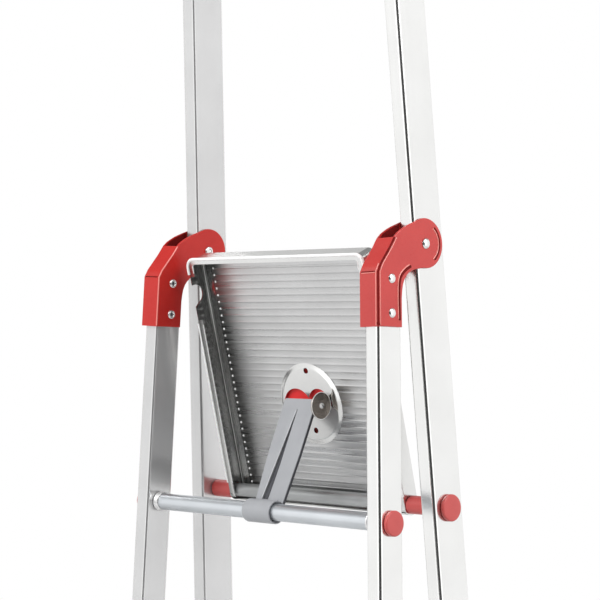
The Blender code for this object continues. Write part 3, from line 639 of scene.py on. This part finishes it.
def bracket_room(half):
    loop = [(-0.0718, -0.0950), (-0.0718, -0.0342), (-0.0682, -0.0265), (-0.0539, -0.0087)]
    loop += [(-0.0467, 0.0022), (-0.0550, 0.0078), (-0.0600, 0.0400), (0.0600, 0.0400)]
    loop += [(0.0600, -0.0950)]
    loop.reverse()
    return outline("bracket_room", [loop], -half, half, "YZ")


# (y, z) along the bead pressed beside the leg, and along the fold of the strap.
BEAD = [(-0.0244, -0.0256), (-0.0295, -0.0283), (-0.0340, -0.0314), (-0.0377, -0.0347),
        (-0.0404, -0.0387), (-0.0420, -0.0440), (-0.0426, -0.0515), (-0.0427, -0.0640),
        (-0.0421, -0.0830)]
FOLD = [(-0.0746, -0.0895), (-0.0746, -0.0337), (-0.0702, -0.0253), (-0.0558, -0.0072),
        (-0.0488, 0.0030)]
GROOVE_RADIUS = 0.0015


def on_plate(x, points, y_shift=0.0, z_shift=0.0):
    return [(x, y + y_shift, z + z_shift) for y, z in points]


def pressed_beads(x):
    """The long bead beside the leg and the crescent on the lobe, pressed into a plate at x."""
    crescent = arc(LOBE_Y, 0.0, 0.0211, 55, -54, 20)
    return [cut(tube_path("groove_bead", on_plate(x, BEAD), GROOVE_RADIUS)),
            cut(tube_path("groove_crescent", on_plate(x, crescent), GROOVE_RADIUS))]


def bracket_lines(tag, side, half, face):
    """Painted highlights along a bracket's edges and beads and painted shade in its folds, creases and
    grooves, as thin beads of paint, with a dark sheet of painted shade inside it.
    """
    place = rail_place(REAR, side)
    proud = side * face - side * 0.0002
    sunk = side * face - side * 0.0008
    inset = face - 0.0030
    light = [("bead_light", on_plate(proud, BEAD, -0.0021, 0.0013), 0.0009),
             ("crescent_light", on_plate(proud, arc(LOBE_Y, 0.0, 0.0196, 57, -56, 20)), 0.0008)]
    dark = [("bead_dark", on_plate(sunk, BEAD, 0.0004, -0.0002), 0.0017),
            ("crescent_dark", on_plate(sunk, arc(LOBE_Y, 0.0, 0.0217, 50, -49, 20)), 0.0014),
            ("crease_dark", [(-inset, -0.0748, -0.0334), (inset, -0.0748, -0.0334)], 0.0006)]
    if side > 0:
        fold_end = [(face - 0.0014, -0.0742, -0.0862), (face - 0.0006, -0.0734, -0.0896)]
        crease = [(-inset, -0.0750, -0.0346), (face - 0.0040, -0.0750, -0.0346)]
        light += [("fold_plate_light", on_plate(face - 0.0003, FOLD, 0.0028), 0.0008),
                  ("fold_strap_light", on_plate(inset, FOLD[:3], -0.0001), 0.0009),
                  ("crease_light", crease, 0.0005)]
        dark += [("fold_dark", on_plate(face - 0.0006, FOLD, 0.0003), 0.0012),
                 ("fold_end_dark", fold_end, 0.0017)]
    else:
        light.append(("fold_light", on_plate(face - 0.0006, FOLD, 0.0002), 0.0008))
    for material, beads in ((HIGHLIGHT_RED, light), (DEEP_RED, dark)):
        for label, points, radius in beads:
            bead = tube_path("bracket_%s_%s" % (label, tag), points, radius)
            finish_piece(bead, place, "rear_frame", material)
    # Painted shade: a dark sheet on the inside of the far plate, where the bracket's inside lies in shade.
    inner_shade = [(-0.0690, -0.0330), (-0.0560, -0.0120), (-0.0475, 0.0020), (-0.0400, 0.0098),
              (-0.0280, 0.0160), (-0.0160, 0.0208), (-0.0160, -0.0200), (-0.0300, -0.0330)]
    inner_shade.reverse()
    inside = outline("bracket_inner_shade_" + tag, [inner_shade], -half + 0.0001, -half + 0.0004, "YZ")
    finish_piece(inside, place, "rear_frame", DEEP_RED)


for tag, side in SIDES:
    half = RAIL_WIDTH / 2.0 + BRACKET_CLEAR
    face = half + BRACKET_WALL
    bracket = outline("hinge_bracket_" + tag, [bracket_outline()], -face, face, "YZ", 0.0011, 3)
    steps = [cut(bracket_room(half))] + pressed_beads(side * (face + 0.0006))
    bracket = combine(bracket, *steps)
    paint = BRACKET_RED if side > 0 else BRACKET_SHADE
    finish_piece(bracket, rail_place(REAR, side), "rear_frame", paint,
                 ["hinge_bracket_" + tag], 40.0)
    bracket_lines(tag, side, half, face)


# ---------------------------------------------------------------- rivets and hinge pins
def rivet_profile(reach, head, rise, shank):
    """A tubular rivet along X: a dome at the far end, a rolled rim round a well at the near end."""
    dome = [(0.0, rise), (head * 0.30, rise * 0.96), (head * 0.55, rise * 0.85),
            (head * 0.75, rise * 0.66), (head * 0.90, rise * 0.38), (head * 0.98, rise * 0.12),
            (head, 0.0)]
    rim = [(head, 0.0), (head * 0.98, rise * 0.30), (head * 0.90, rise * 0.62),
           (head * 0.78, rise * 0.80), (head * 0.64, rise * 0.84), (head * 0.52, rise * 0.72),
           (head * 0.45, rise * 0.45), (head * 0.40, rise * 0.20), (0.0, rise * 0.15)]
    far = [(r, reach + h) for r, h in dome]
    near = [(r, -reach - h) for r, h in rim]
    return far + [(shank, reach), (shank, -reach)] + near


for tag, side in SIDES:
    reach = RAIL_WIDTH / 2.0 + BRACKET_CLEAR + BRACKET_WALL + 0.0002
    outward = Matrix.Identity(4) if side > 0 else Matrix.Rotation(math.pi, 4, "Z")
    for label, z in RIVET_HEIGHTS:
        name = "bracket_rivet_%s_%s" % (label, tag)
        place = rail_place(REAR, side, LEG_Y, z) @ outward
        rivet = spun(name, rivet_profile(reach, head=0.0051, rise=0.0020, shank=0.0024), 40)
        finish_piece(rivet, place, "rear_frame", RIVET_METAL, [name], 50.0)
        # Painted shade: a dark disc in the well of the rivet's rolled rim.
        floor = -reach - 0.0006
        well = spun("rivet_well_%s_%s" % (label, tag),
                    [(0.0, floor), (0.0021, floor), (0.0021, -reach), (0.0, -reach)], 24)
        finish_piece(well, place, "rear_frame", SHADE_GREY, angle=50.0)
    pin = spun("hinge_pin_" + tag, rivet_profile(reach + 0.0004, head=0.0056, rise=0.0023, shank=0.0029), 48)
    place = FRONT @ Matrix.Translation((side * (OUTER_HALF - RAIL_WIDTH / 2.0), 0.0, 0.0)) @ outward
    finish_piece(pin, place, "front_frame", RIVET_METAL, ["hinge_pin_" + tag], 50.0)


# ---------------------------------------------------------------- cross rods, caps and collars
def build_rod(name, base, body, y, z, radius, metal):
    reach = OUTER_HALF - SPLAY * z - ROD_END_GAP
    bore = radius - ROD_WALL
    chamfer = 0.0004
    profile = [(bore, -reach), (radius - chamfer, -reach), (radius, -reach + chamfer),
               (radius, reach - chamfer), (radius - chamfer, reach), (bore, reach), (bore, -reach)]
    rod = spun(name, profile)
    finish_piece(rod, base @ Matrix.Translation((0.0, y, z)), body, metal, [name], 40.0)


def build_caps(prefix, base, body, y, z, radius, rod_radius):
    stem = rod_radius - ROD_WALL - CAP_STEM_PLAY
    profile = [(0.0, -0.009), (stem - 0.0008, -0.009), (stem, -0.0082), (stem, 0.0003),
               (radius - 0.0012, 0.0003), (radius - 0.0005, 0.0006), (radius, 0.0013),
               (radius, 0.0038), (radius - 0.0002, 0.0044), (radius - 0.0007, 0.0049),
               (radius - 0.0014, 0.0052), (radius - 0.0055, 0.0056), (0.0, 0.0057)]
    for tag, side in SIDES:
        name = prefix + "_" + tag
        cap = spun(name, profile, 72)
        turn = Matrix.Identity(4) if side > 0 else Matrix.Rotation(math.pi, 4, "Z")
        spot = Matrix.Translation((side * (OUTER_HALF - SPLAY * z + 0.0002), y, z))
        place = base @ spot @ turn @ Matrix.Rotation(-SPLAY_ANGLE, 4, "Y")
        finish_piece(cap, place, body, PLASTIC_RED, [name], 45.0)


build_rod("platform_rod", FRONT, "front_frame", STILE_Y, PLATFORM_ROD_Z, PLATFORM_ROD_RADIUS, SHADED_ROD)
build_rod("guard_rail", FRONT, "front_frame", STILE_Y, GUARD_RAIL_Z, PLATFORM_ROD_RADIUS, ROD_METAL)
build_rod("rest_rod", REAR, "rear_frame", LEG_Y, REST_ROD_Z, REST_ROD_RADIUS, ROD_METAL)
build_caps("platform_rod_cap", FRONT, "front_frame", STILE_Y, PLATFORM_ROD_Z,
           PLATFORM_CAP_RADIUS, PLATFORM_ROD_RADIUS)
build_caps("guard_rail_cap", FRONT, "front_frame", STILE_Y, GUARD_RAIL_Z,
           PLATFORM_CAP_RADIUS, PLATFORM_ROD_RADIUS)
build_caps("rest_rod_cap", REAR, "rear_frame", LEG_Y, REST_ROD_Z, REST_CAP_RADIUS, REST_ROD_RADIUS)

for tag, side in SIDES:
    inner_face = OUTER_HALF - RAIL_WIDTH - SPLAY * PLATFORM_ROD_Z
    low = TRAY_HALF + 0.0004
    high = inner_face - 0.0010
    bore = PLATFORM_ROD_RADIUS + BORE_PLAY
    profile = [(bore, low), (0.0096, low), (0.0100, low + 0.0004), (0.0100, high - 0.0032),
               (0.0097, high - 0.0029), (0.0097, high - 0.0024), (0.0100, high - 0.0021),
               (0.0100, high - 0.0004), (0.0096, high), (bore, high), (bore, low)]
    mirror = Matrix.Scale(side, 4, (1, 0, 0))
    bushing = transformed(spun("platform_bushing_" + tag, profile), mirror)
    finish_piece(bushing, FRONT @ Matrix.Translation((0.0, STILE_Y, PLATFORM_ROD_Z)), "front_frame",
                 PLASTIC_RED, ["platform_bushing_" + tag], 40.0)

    inner_face = OUTER_HALF - RAIL_WIDTH - SPLAY * REST_ROD_Z
    low = inner_face - 0.0085
    bore = REST_ROD_RADIUS + BORE_PLAY
    profile = [(bore, 0.0), (0.0100, 0.0), (0.0110, 0.0006), (0.0113, 0.0016), (0.0110, 0.0026),
               (0.0102, 0.0032), (0.0102, 0.0042), (0.0110, 0.0048), (0.0113, 0.0058),
               (0.0110, 0.0068), (0.0102, 0.0074), (bore, 0.0074), (bore, 0.0)]
    profile = [(r, low + h) for r, h in profile]
    ferrule = transformed(spun("rest_rod_ferrule_" + tag, profile), mirror)
    finish_piece(ferrule, REAR @ Matrix.Translation((0.0, LEG_Y, REST_ROD_Z)), "rear_frame",
                 CROSS_METAL, ["rest_rod_ferrule_" + tag], 60.0)


# ---------------------------------------------------------------- platform tray
RIB_PITCH = 0.00805
RIB_COUNT = 33
RIB_FIRST = 0.0074
RIB_END = 0.1205
RIB_HEIGHT = 0.00036
RIB_HALF_WIDTH = 0.0016
PANEL_HALF = 0.1245
PANEL_LOW = 0.0005
PANEL_HIGH = 0.2720
# How far tools reach to either side when they cut through the tray's whole width.
ACROSS = 0.15


def tray_plan(half, low, high, radius):
    loop = [(-half, low), (half, low)]
    loop += arc(half - radius, high - radius, radius, 0, 90, 8)
    loop += arc(-half + radius, high - radius, radius, 90, 180, 8)
    return loop


def slope_end(ob):
    """Lean the end flange: move the far half along Z in proportion to its height above the rim."""
    for vert in ob.data.vertices:
        if vert.co.z > 0.15:
            vert.co.z += (vert.co.y - TRAY_RIM) * TRAY_END_SLOPE
    return ob


def round_rims(ob, widths):
    """Round the edges that lie in a plane of constant Y: widths maps that Y to a radius."""
    bm = bmesh.new()
    bm.from_mesh(ob.data)
    for y, width in widths:
        edges = []
        for edge in bm.edges:
            flat = all(abs(vert.co.y - y) < 0.00002 for vert in edge.verts)
            if flat and edge.calc_face_angle(0.0) > math.radians(60):
                edges.append(edge)
        bmesh.ops.bevel(bm, geom=edges, offset=width, segments=5, affect="EDGES", profile=0.5)
    bm.to_mesh(ob.data)
    bm.free()
    return ob


def rib_height(x, z):
    """How far a rib stands toward the underside at a point of the sheet."""
    along = (z - RIB_FIRST) / RIB_PITCH
    nearest = round(along)
    if nearest < 0 or nearest > RIB_COUNT - 1:
        return 0.0
    off = (along - nearest) * RIB_PITCH
    beyond = max(0.0, abs(x) - (RIB_END - RIB_HALF_WIDTH))
    distance = math.hypot(off, beyond)
    if distance >= RIB_HALF_WIDTH:
        return 0.0
    return RIB_HEIGHT * math.cos(distance / RIB_HALF_WIDTH * math.pi / 2.0)


def sheet_panel():
    """The ribbed middle of the tray, one sheet thickness deep, open where the dish sits."""
    xs = [-PANEL_HALF, -0.1225]
    xs += [-RIB_END - 0.0001 + 0.0005 * i for i in range(7)]
    xs += [-0.110, -0.090, -0.065, -0.040, -0.020, 0.0, 0.020, 0.040, 0.065, 0.090, 0.110]
    xs += [RIB_END + 0.0001 - 0.0005 * i for i in range(6, -1, -1)]
    xs += [0.1225, PANEL_HALF]
    zs = [PANEL_LOW, 0.003]
    for n in range(RIB_COUNT):
        middle = RIB_FIRST + RIB_PITCH * n
        zs += [middle + 0.0004 * k for k in range(-4, 5)]
        zs.append(middle + RIB_PITCH / 2.0)
    zs[-1] = PANEL_HIGH
    bm = bmesh.new()
    rows = []
    for z in zs:
        rows.append([bm.verts.new((x, TRAY_UNDER - rib_height(x, z), z)) for x in xs])
    for j in range(len(zs) - 1):
        for i in range(len(xs) - 1):
            bm.faces.new((rows[j][i], rows[j][i + 1], rows[j + 1][i + 1], rows[j + 1][i]))
    ob = from_bmesh(bm, "platform_sheet")
    bpy.context.scene.collection.objects.link(ob)
    solid = ob.modifiers.new("sheet", "SOLIDIFY")
    solid.thickness = TRAY_WALL - 0.00006
    solid.offset = -1.0
    opening = arc(DISH_X, DISH_Z, DISH_OPENING, -62, 35, 20)
    opening += arc(DISH_X, DISH_Z, DISH_OPENING, 145, 242, 20)
    ob = combine(evaluated(ob), cut(outline("sheet_opening", [opening], 0.0, 0.02, "XZ")))
    return transformed(ob, Matrix.Translation((0.0, -0.00002, 0.0)))


def rim_run(half, top, radius, low):
    """Points (x, z) up the left side, round both corners and down the right side."""
    run = [(-half, low)] + arc(-half + radius, top - radius, radius, 180, 90, 10)
    return run + arc(half - radius, top - radius, radius, 90, 0, 10) + [(half, low)]


def build_rims():
    """Rolled rim of the flanges, hem edges, bend lines and the ribs' rounded ends, in a bright matte metal
    that is their painted highlight.
    """
    rim = rim_run(TRAY_HALF + 0.0002, TRAY_END + 0.0006, TRAY_CORNER, 0.2625)
    runs = [("tray_rim_end", [(x, TRAY_RIM + 0.0004, z) for x, z in rim], 0.0019)]
    hem = TRAY_HALF - HEM
    bend = TRAY_HALF - TRAY_WALL - 0.0012
    straight = (("tray_rim_", TRAY_HALF, TRAY_RIM + 0.0006, 0.204, 0.012, 0.0013),
                ("tray_hem_edge_upper_", hem, TRAY_RIM + 0.0002, 0.2640, TRAY_END - END_HEM - 0.002, 0.0006),
                ("tray_hem_edge_lower_", hem, TRAY_RIM + 0.0002, 0.2030, 0.012, 0.0005),
                ("tray_bend_", bend, TRAY_UNDER - 0.0010, 0.004, TRAY_END - 0.006, 0.0006))
    for tag, side in SIDES:
        for label, x, y, z_from, z_to, radius in straight:
            runs.append((label + tag, [(side * x, y, z_from), (side * x, y, z_to)], radius))
    for name, points, radius in runs:
        finish_piece(tube_path(name, points, radius), TRAY, "platform", HIGHLIGHT_METAL)
    bm = bmesh.new()
    for n in range(RIB_COUNT):
        for side in (-1, 1):
            spot = Matrix.Translation((side * RIB_END, TRAY_UNDER, RIB_FIRST + RIB_PITCH * n))
            bmesh.ops.create_uvsphere(bm, u_segments=16, v_segments=10, radius=0.0014, matrix=spot)
    finish_piece(from_bmesh(bm, "rib_ends"), TRAY, "platform", HIGHLIGHT_METAL)


def build_tray():
    """The pan with its flanges and seat notches, the curl under the rod and the ribbed sheet."""
    pan = outline("platform_tray", [tray_plan(TRAY_HALF, -0.014, TRAY_END, TRAY_CORNER)],
                  TRAY_RIM, TRAY_TOP, "XZ")
    pan = slope_end(round_rims(pan, ((TRAY_TOP, 0.0030), (TRAY_RIM, 0.0012))))
    room = outline("tray_room", [tray_plan(TRAY_HALF - TRAY_WALL, -0.05, TRAY_END - TRAY_WALL, 0.0085)],
                   TRAY_RIM + TRAY_WALL, TRAY_UNDER, "XZ")
    room = slope_end(round_rims(room, ((TRAY_UNDER, 0.0018),)))
    mouth = slope_end(outline("tray_mouth", [tray_plan(TRAY_HALF - HEM, -0.05, TRAY_END - END_HEM, 0.004)],
                              TRAY_RIM - 0.01, TRAY_RIM + 0.003, "XZ"))
    no_hem = block("tray_no_hem", -TRAY_HALF + TRAY_WALL, TRAY_HALF - TRAY_WALL,
                   TRAY_RIM - 0.01, TRAY_RIM + 0.003, HEM_GAP_LOW, HEM_GAP_HIGH)
    nose = [(-0.03, 0.001), (-0.03, -0.03), (0.03, -0.03), (0.03, 0.001), (0.0127, 0.001)]
    nose += arc(NOSE_Y, 0.0, NOSE_RADIUS, 0, -180, 24)
    nose += [(-0.0115, 0.001)]
    end_cut = outline("tray_nose_cut", [nose], -ACROSS, ACROSS, "YZ")
    seat = cylinder("tray_seat", -ACROSS, ACROSS, SEAT_RADIUS, "X", (0.0, SEAT_Y, SEAT_Z), 64)
    throat = [(-0.0029, 0.2295), (-0.0080, 0.2500), (-0.0200, 0.2500), (-0.0200, 0.2178)]
    seat_mouth = outline("tray_seat_mouth", [throat], -ACROSS, ACROSS, "YZ")
    curl_loop = arc(NOSE_Y, 0.0, CURL_RADIUS, 0, CURL_END, 24)
    curl_loop += arc(NOSE_Y, 0.0, CURL_RADIUS - TRAY_WALL + 0.0001, CURL_END, 0, 24)
    curl = outline("tray_curl", [curl_loop], -TRAY_HALF + 0.0003, TRAY_HALF - 0.0003, "YZ")
    holes = cylinder("tray_rod_holes", -ACROSS, ACROSS, TRAY_BORE_RADIUS, "X", (0.0, 0.0, 0.0), 48)
    middle = block("tray_middle", -PANEL_HALF + 0.0002, PANEL_HALF - 0.0002, 0.008, 0.014,
                   -0.03, PANEL_HIGH - 0.0002)
    pan = combine(pan, cut(room), cut(mouth), cut(no_hem), cut(end_cut), cut(seat), cut(seat_mouth),
                  cut(holes), cut(middle))
    finish_piece(curl, TRAY, "platform", CURL_METAL, angle=40.0)
    finish_piece(pan, TRAY, "platform", SHEET_METAL, ["platform_tray"], 40.0)
    finish_piece(sheet_panel(), TRAY, "platform", PANEL_METAL, angle=40.0)


build_tray()
build_rims()


# ---------------------------------------------------------------- pivot dish, cover and pin disc
def build_dish():
    """The raised dish with its two round openings, screw holes and the lug of the lever's pin."""
    profile = [(0.0, 0.0106), (DISH_RADIUS, 0.0106), (DISH_RADIUS, 0.0105), (0.0467, 0.0103),
               (0.0456, 0.0100), (0.0444, 0.0096), (0.0432, 0.0092), (0.0422, 0.00895),
               (0.0412, DISH_FACE), (0.0, DISH_FACE)]
    dish = transformed(spun("pivot_dish", profile, 96, "Y"), Matrix.Translation((DISH_X, 0.0, DISH_Z)))
    steps = []
    for x, z, radius in ((-0.018, 0.102, 0.022), (0.0165, 0.1085, 0.016)):
        steps.append(cut(cylinder("dish_hole", 0.0, 0.02, radius, "Y", (x, 0.0, z), 64)))
    for _, x, z in SCREW_SPOTS:
        steps.append(cut(cylinder("dish_screw_hole", 0.0, 0.02, 0.0034, "Y", (x, 0.0, z), 32)))
    lug_loop = [(0.0100, 0.102), (0.0100, 0.118), (PIVOT_Y + 0.003, 0.1178)]
    lug_loop += arc(PIVOT_Y, PIVOT_Z, 0.0085, 70, 290, 20)
    lug_loop += [(PIVOT_Y + 0.003, 0.1022)]
    steps.append(join(outline("dish_lug", [lug_loop], 0.0305, 0.0330, "YZ")))
    steps.append(join(cylinder("dish_pin", 0.0262, 0.0310, 0.004, "X", (0.0, PIVOT_Y, PIVOT_Z), 32)))
    dish = combine(dish, *steps)
    finish_piece(dish, TRAY, "platform", SHEET_METAL, ["pivot_dish"], 35.0)


def build_cover():
    """The red grip cover on the standing side, with the red web that shows through the dish."""
    low = TRAY_TOP + 0.0003
    shell = outline("release_cover", [rounded_box(-0.046, 0.042, 0.0595, 0.138, 0.012, 8)],
                    low - 0.006, low + 0.0175, "XZ", 0.0050, 4)
    trim = block("cover_trim", -0.1, 0.1, low - 0.02, low, 0.0, 0.2)
    hollow = outline("cover_hollow", [rounded_box(-0.0415, 0.0375, 0.0640, 0.1335, 0.008, 4)],
                     low - 0.01, low + 0.0150, "XZ")
    web_loops = [rounded_box(-0.0425, 0.0385, 0.0630, 0.1345, 0.008, 4),
                 rounded_box(-0.0275, 0.0280, 0.0680, 0.1065, 0.003, 3)]
    web = outline("cover_web", web_loops, low + 0.0001, low + 0.0022, "XZ")
    shell = combine(shell, cut(trim), cut(hollow), join(web))
    finish_piece(shell, TRAY, "platform", COVER_RED, ["release_cover"], 35.0)
    profile = [(0.0, 0.0092), (0.0016, 0.0093), (0.0026, 0.0097), (0.0031, 0.0103), (0.0031, 0.0125),
               (0.0, 0.0125)]
    for label, x, z in SCREW_SPOTS:
        plug = spun("cover_screw_" + label, profile, 24, "Y")
        slot_bar = block("plug_slot", -0.0004, 0.0004, 0.0080, 0.0098, -0.003, 0.003)
        cross_bar = block("plug_cross", -0.003, 0.003, 0.0080, 0.0098, -0.0004, 0.0004)
        plug = combine(plug, cut(slot_bar), cut(cross_bar))
        place = TRAY @ Matrix.Translation((x, 0.0, z)) @ Matrix.Rotation(0.5, 4, "Y")
        finish_piece(plug, place, "platform", DEEP_RED, angle=35.0)


def build_pin_disc():
    """The steel disc at the lever's pivot with its rolled rim and slotted rivet; the rivet and a ring round
    the rim are a painted highlight, a dark block in the slot is painted shade.
    """
    profile = [(0.0, 0.0), (0.0144, 0.0), (0.0150, 0.0004), (0.0150, 0.0014), (0.0144, 0.0020),
               (0.0055, 0.0022), (0.0, 0.0022)]
    disc = spun("pin_disc", profile, 72)
    place = TRAY @ Matrix.Translation((PIN_DISC_X, PIVOT_Y, PIVOT_Z))
    finish_piece(disc, place, "platform", DISC_METAL, ["pin_disc"], 50.0)
    head = [(0.0, 0.0015), (0.0032, 0.0015), (0.0032, 0.0028), (0.0026, 0.0036), (0.0014, 0.0040),
            (0.0, 0.0041)]
    slot = block("pin_slot", 0.0030, 0.006, -0.0004, 0.0012, -0.0007, 0.004)
    rivet = combine(spun("pin_rivet", head, 32), cut(slot))
    finish_piece(rivet, place, "platform", HIGHLIGHT_METAL, angle=50.0)
    # Painted shade: a dark block in the rivet's slot.
    dent = block("pin_rivet_slot", 0.0024, 0.0041, 0.0002, 0.0014, -0.0022, 0.0006)
    finish_piece(dent, place, "platform", SHADE_GREY, angle=50.0)
    # Painted highlight: a bright ring round the disc's rim.
    ring = [(0.0146, 0.0018), (0.0150, 0.0022), (0.0154, 0.0018), (0.0150, 0.0014), (0.0146, 0.0018)]
    rim = spun("pin_rim", ring, 72)
    finish_piece(rim, place, "platform", HIGHLIGHT_METAL, angle=50.0)


build_dish()
build_cover()
build_pin_disc()


# ---------------------------------------------------------------- support lever
def lean_blade(ob):
    """Lean a flat shape into the plane of the lever's blade."""
    for vert in ob.data.vertices:
        vert.co.y += BLADE_Y - BLADE_SLOPE * vert.co.z
    return ob


def build_lever():
    """The blade with its wedge-shaped groove and the hub that clips round the rest rod."""
    blade_loop = [(-0.0200, 0.0075), (0.0230, 0.0075), (0.0255, 0.0700), (0.0255, LEVER_LENGTH - 0.002)]
    blade_loop += [(0.0249, LEVER_LENGTH - 0.0006), (0.0235, LEVER_LENGTH), (-0.0220, LEVER_LENGTH)]
    blade_loop += [(-0.0234, LEVER_LENGTH - 0.0006), (-0.0240, LEVER_LENGTH - 0.002), (-0.0236, 0.0700)]
    lever = lean_blade(outline("support_lever", [blade_loop], 0.0, LEVER_THICK, "XZ", 0.0005, 2))
    wedge = [(-0.0105, 0.0150), (0.0010, 0.0150), (0.0010, 0.1225), (0.0000, 0.1225)]
    groove = lean_blade(outline("lever_groove", [wedge], -0.002, LEVER_THICK - 0.0010, "XZ"))
    hub_profile = [(0.0, -0.0204), (HUB_RADIUS - 0.0012, -0.0204), (HUB_RADIUS - 0.0003, -0.0200),
                   (HUB_RADIUS, -0.0190), (HUB_RADIUS, 0.0211), (HUB_RADIUS - 0.0003, 0.0221),
                   (HUB_RADIUS - 0.0012, 0.0225), (0.0, 0.0225)]
    hub = spun("lever_hub", hub_profile, 72)
    bore_profile = [(0.0, -0.03), (0.0118, -0.03), (0.0118, -0.0201), (0.0101, -0.0178),
                    (0.0098, -0.0175), (0.0098, 0.0196), (0.0101, 0.0199), (0.0118, 0.0222),
                    (0.0118, 0.03), (0.0, 0.03)]
    bore = spun("lever_bore", bore_profile, 72)
    lever = combine(lever, cut(groove), join(hub), cut(bore))
    finish_piece(lever, LEVER, "lever", LEVER_GREY, ["support_lever"], 35.0)
    floor = [(-0.0104, 0.0150), (-0.0040, 0.0150), (0.0009, 0.1180), (0.0000, 0.1220)]
    shade = lean_blade(outline("lever_groove_shade", [floor], 0.0020, LEVER_THICK - 0.0008, "XZ"))
    finish_piece(shade, LEVER, "lever", SHADE_GREY, angle=35.0)
    # Painted highlight: a light grey bead along the groove's left lip.
    lip = [(-0.0109, 0.0001, 0.0170), (-0.0003, 0.0001, 0.1215)]
    lip = lean_blade(tube_path("lever_groove_lip", lip, 0.0006))
    finish_piece(lip, LEVER, "lever", LIP_HIGHLIGHT_GREY, angle=35.0)
    # Painted shade: a dark strip along the blade's right side.
    strip = [(0.0233, 0.0075), (0.0257, 0.0700), (0.0257, 0.1330), (0.0261, 0.1330), (0.0261, 0.0700),
             (0.0237, 0.0075)]
    side_wall = lean_blade(outline("lever_side_right", [strip], 0.0006, LEVER_THICK - 0.0002, "XZ"))
    finish_piece(side_wall, LEVER, "lever", SHADE_GREY, angle=35.0)


build_lever()

# ---------------------------------------------------------------- carried-over CAD nodes
CARRIED = {"rear_foot": RUBBER, "front_foot": RUBBER, "stile_cap": PLASTIC_RED,
           "tread": CROSS_METAL, "rear_brace": CROSS_METAL}
for node_name, node in frame["nodes"].items():
    for prefix, material in CARRIED.items():
        if node_name.startswith(prefix):
            node.data.materials.clear()
            node.data.materials.append(material)
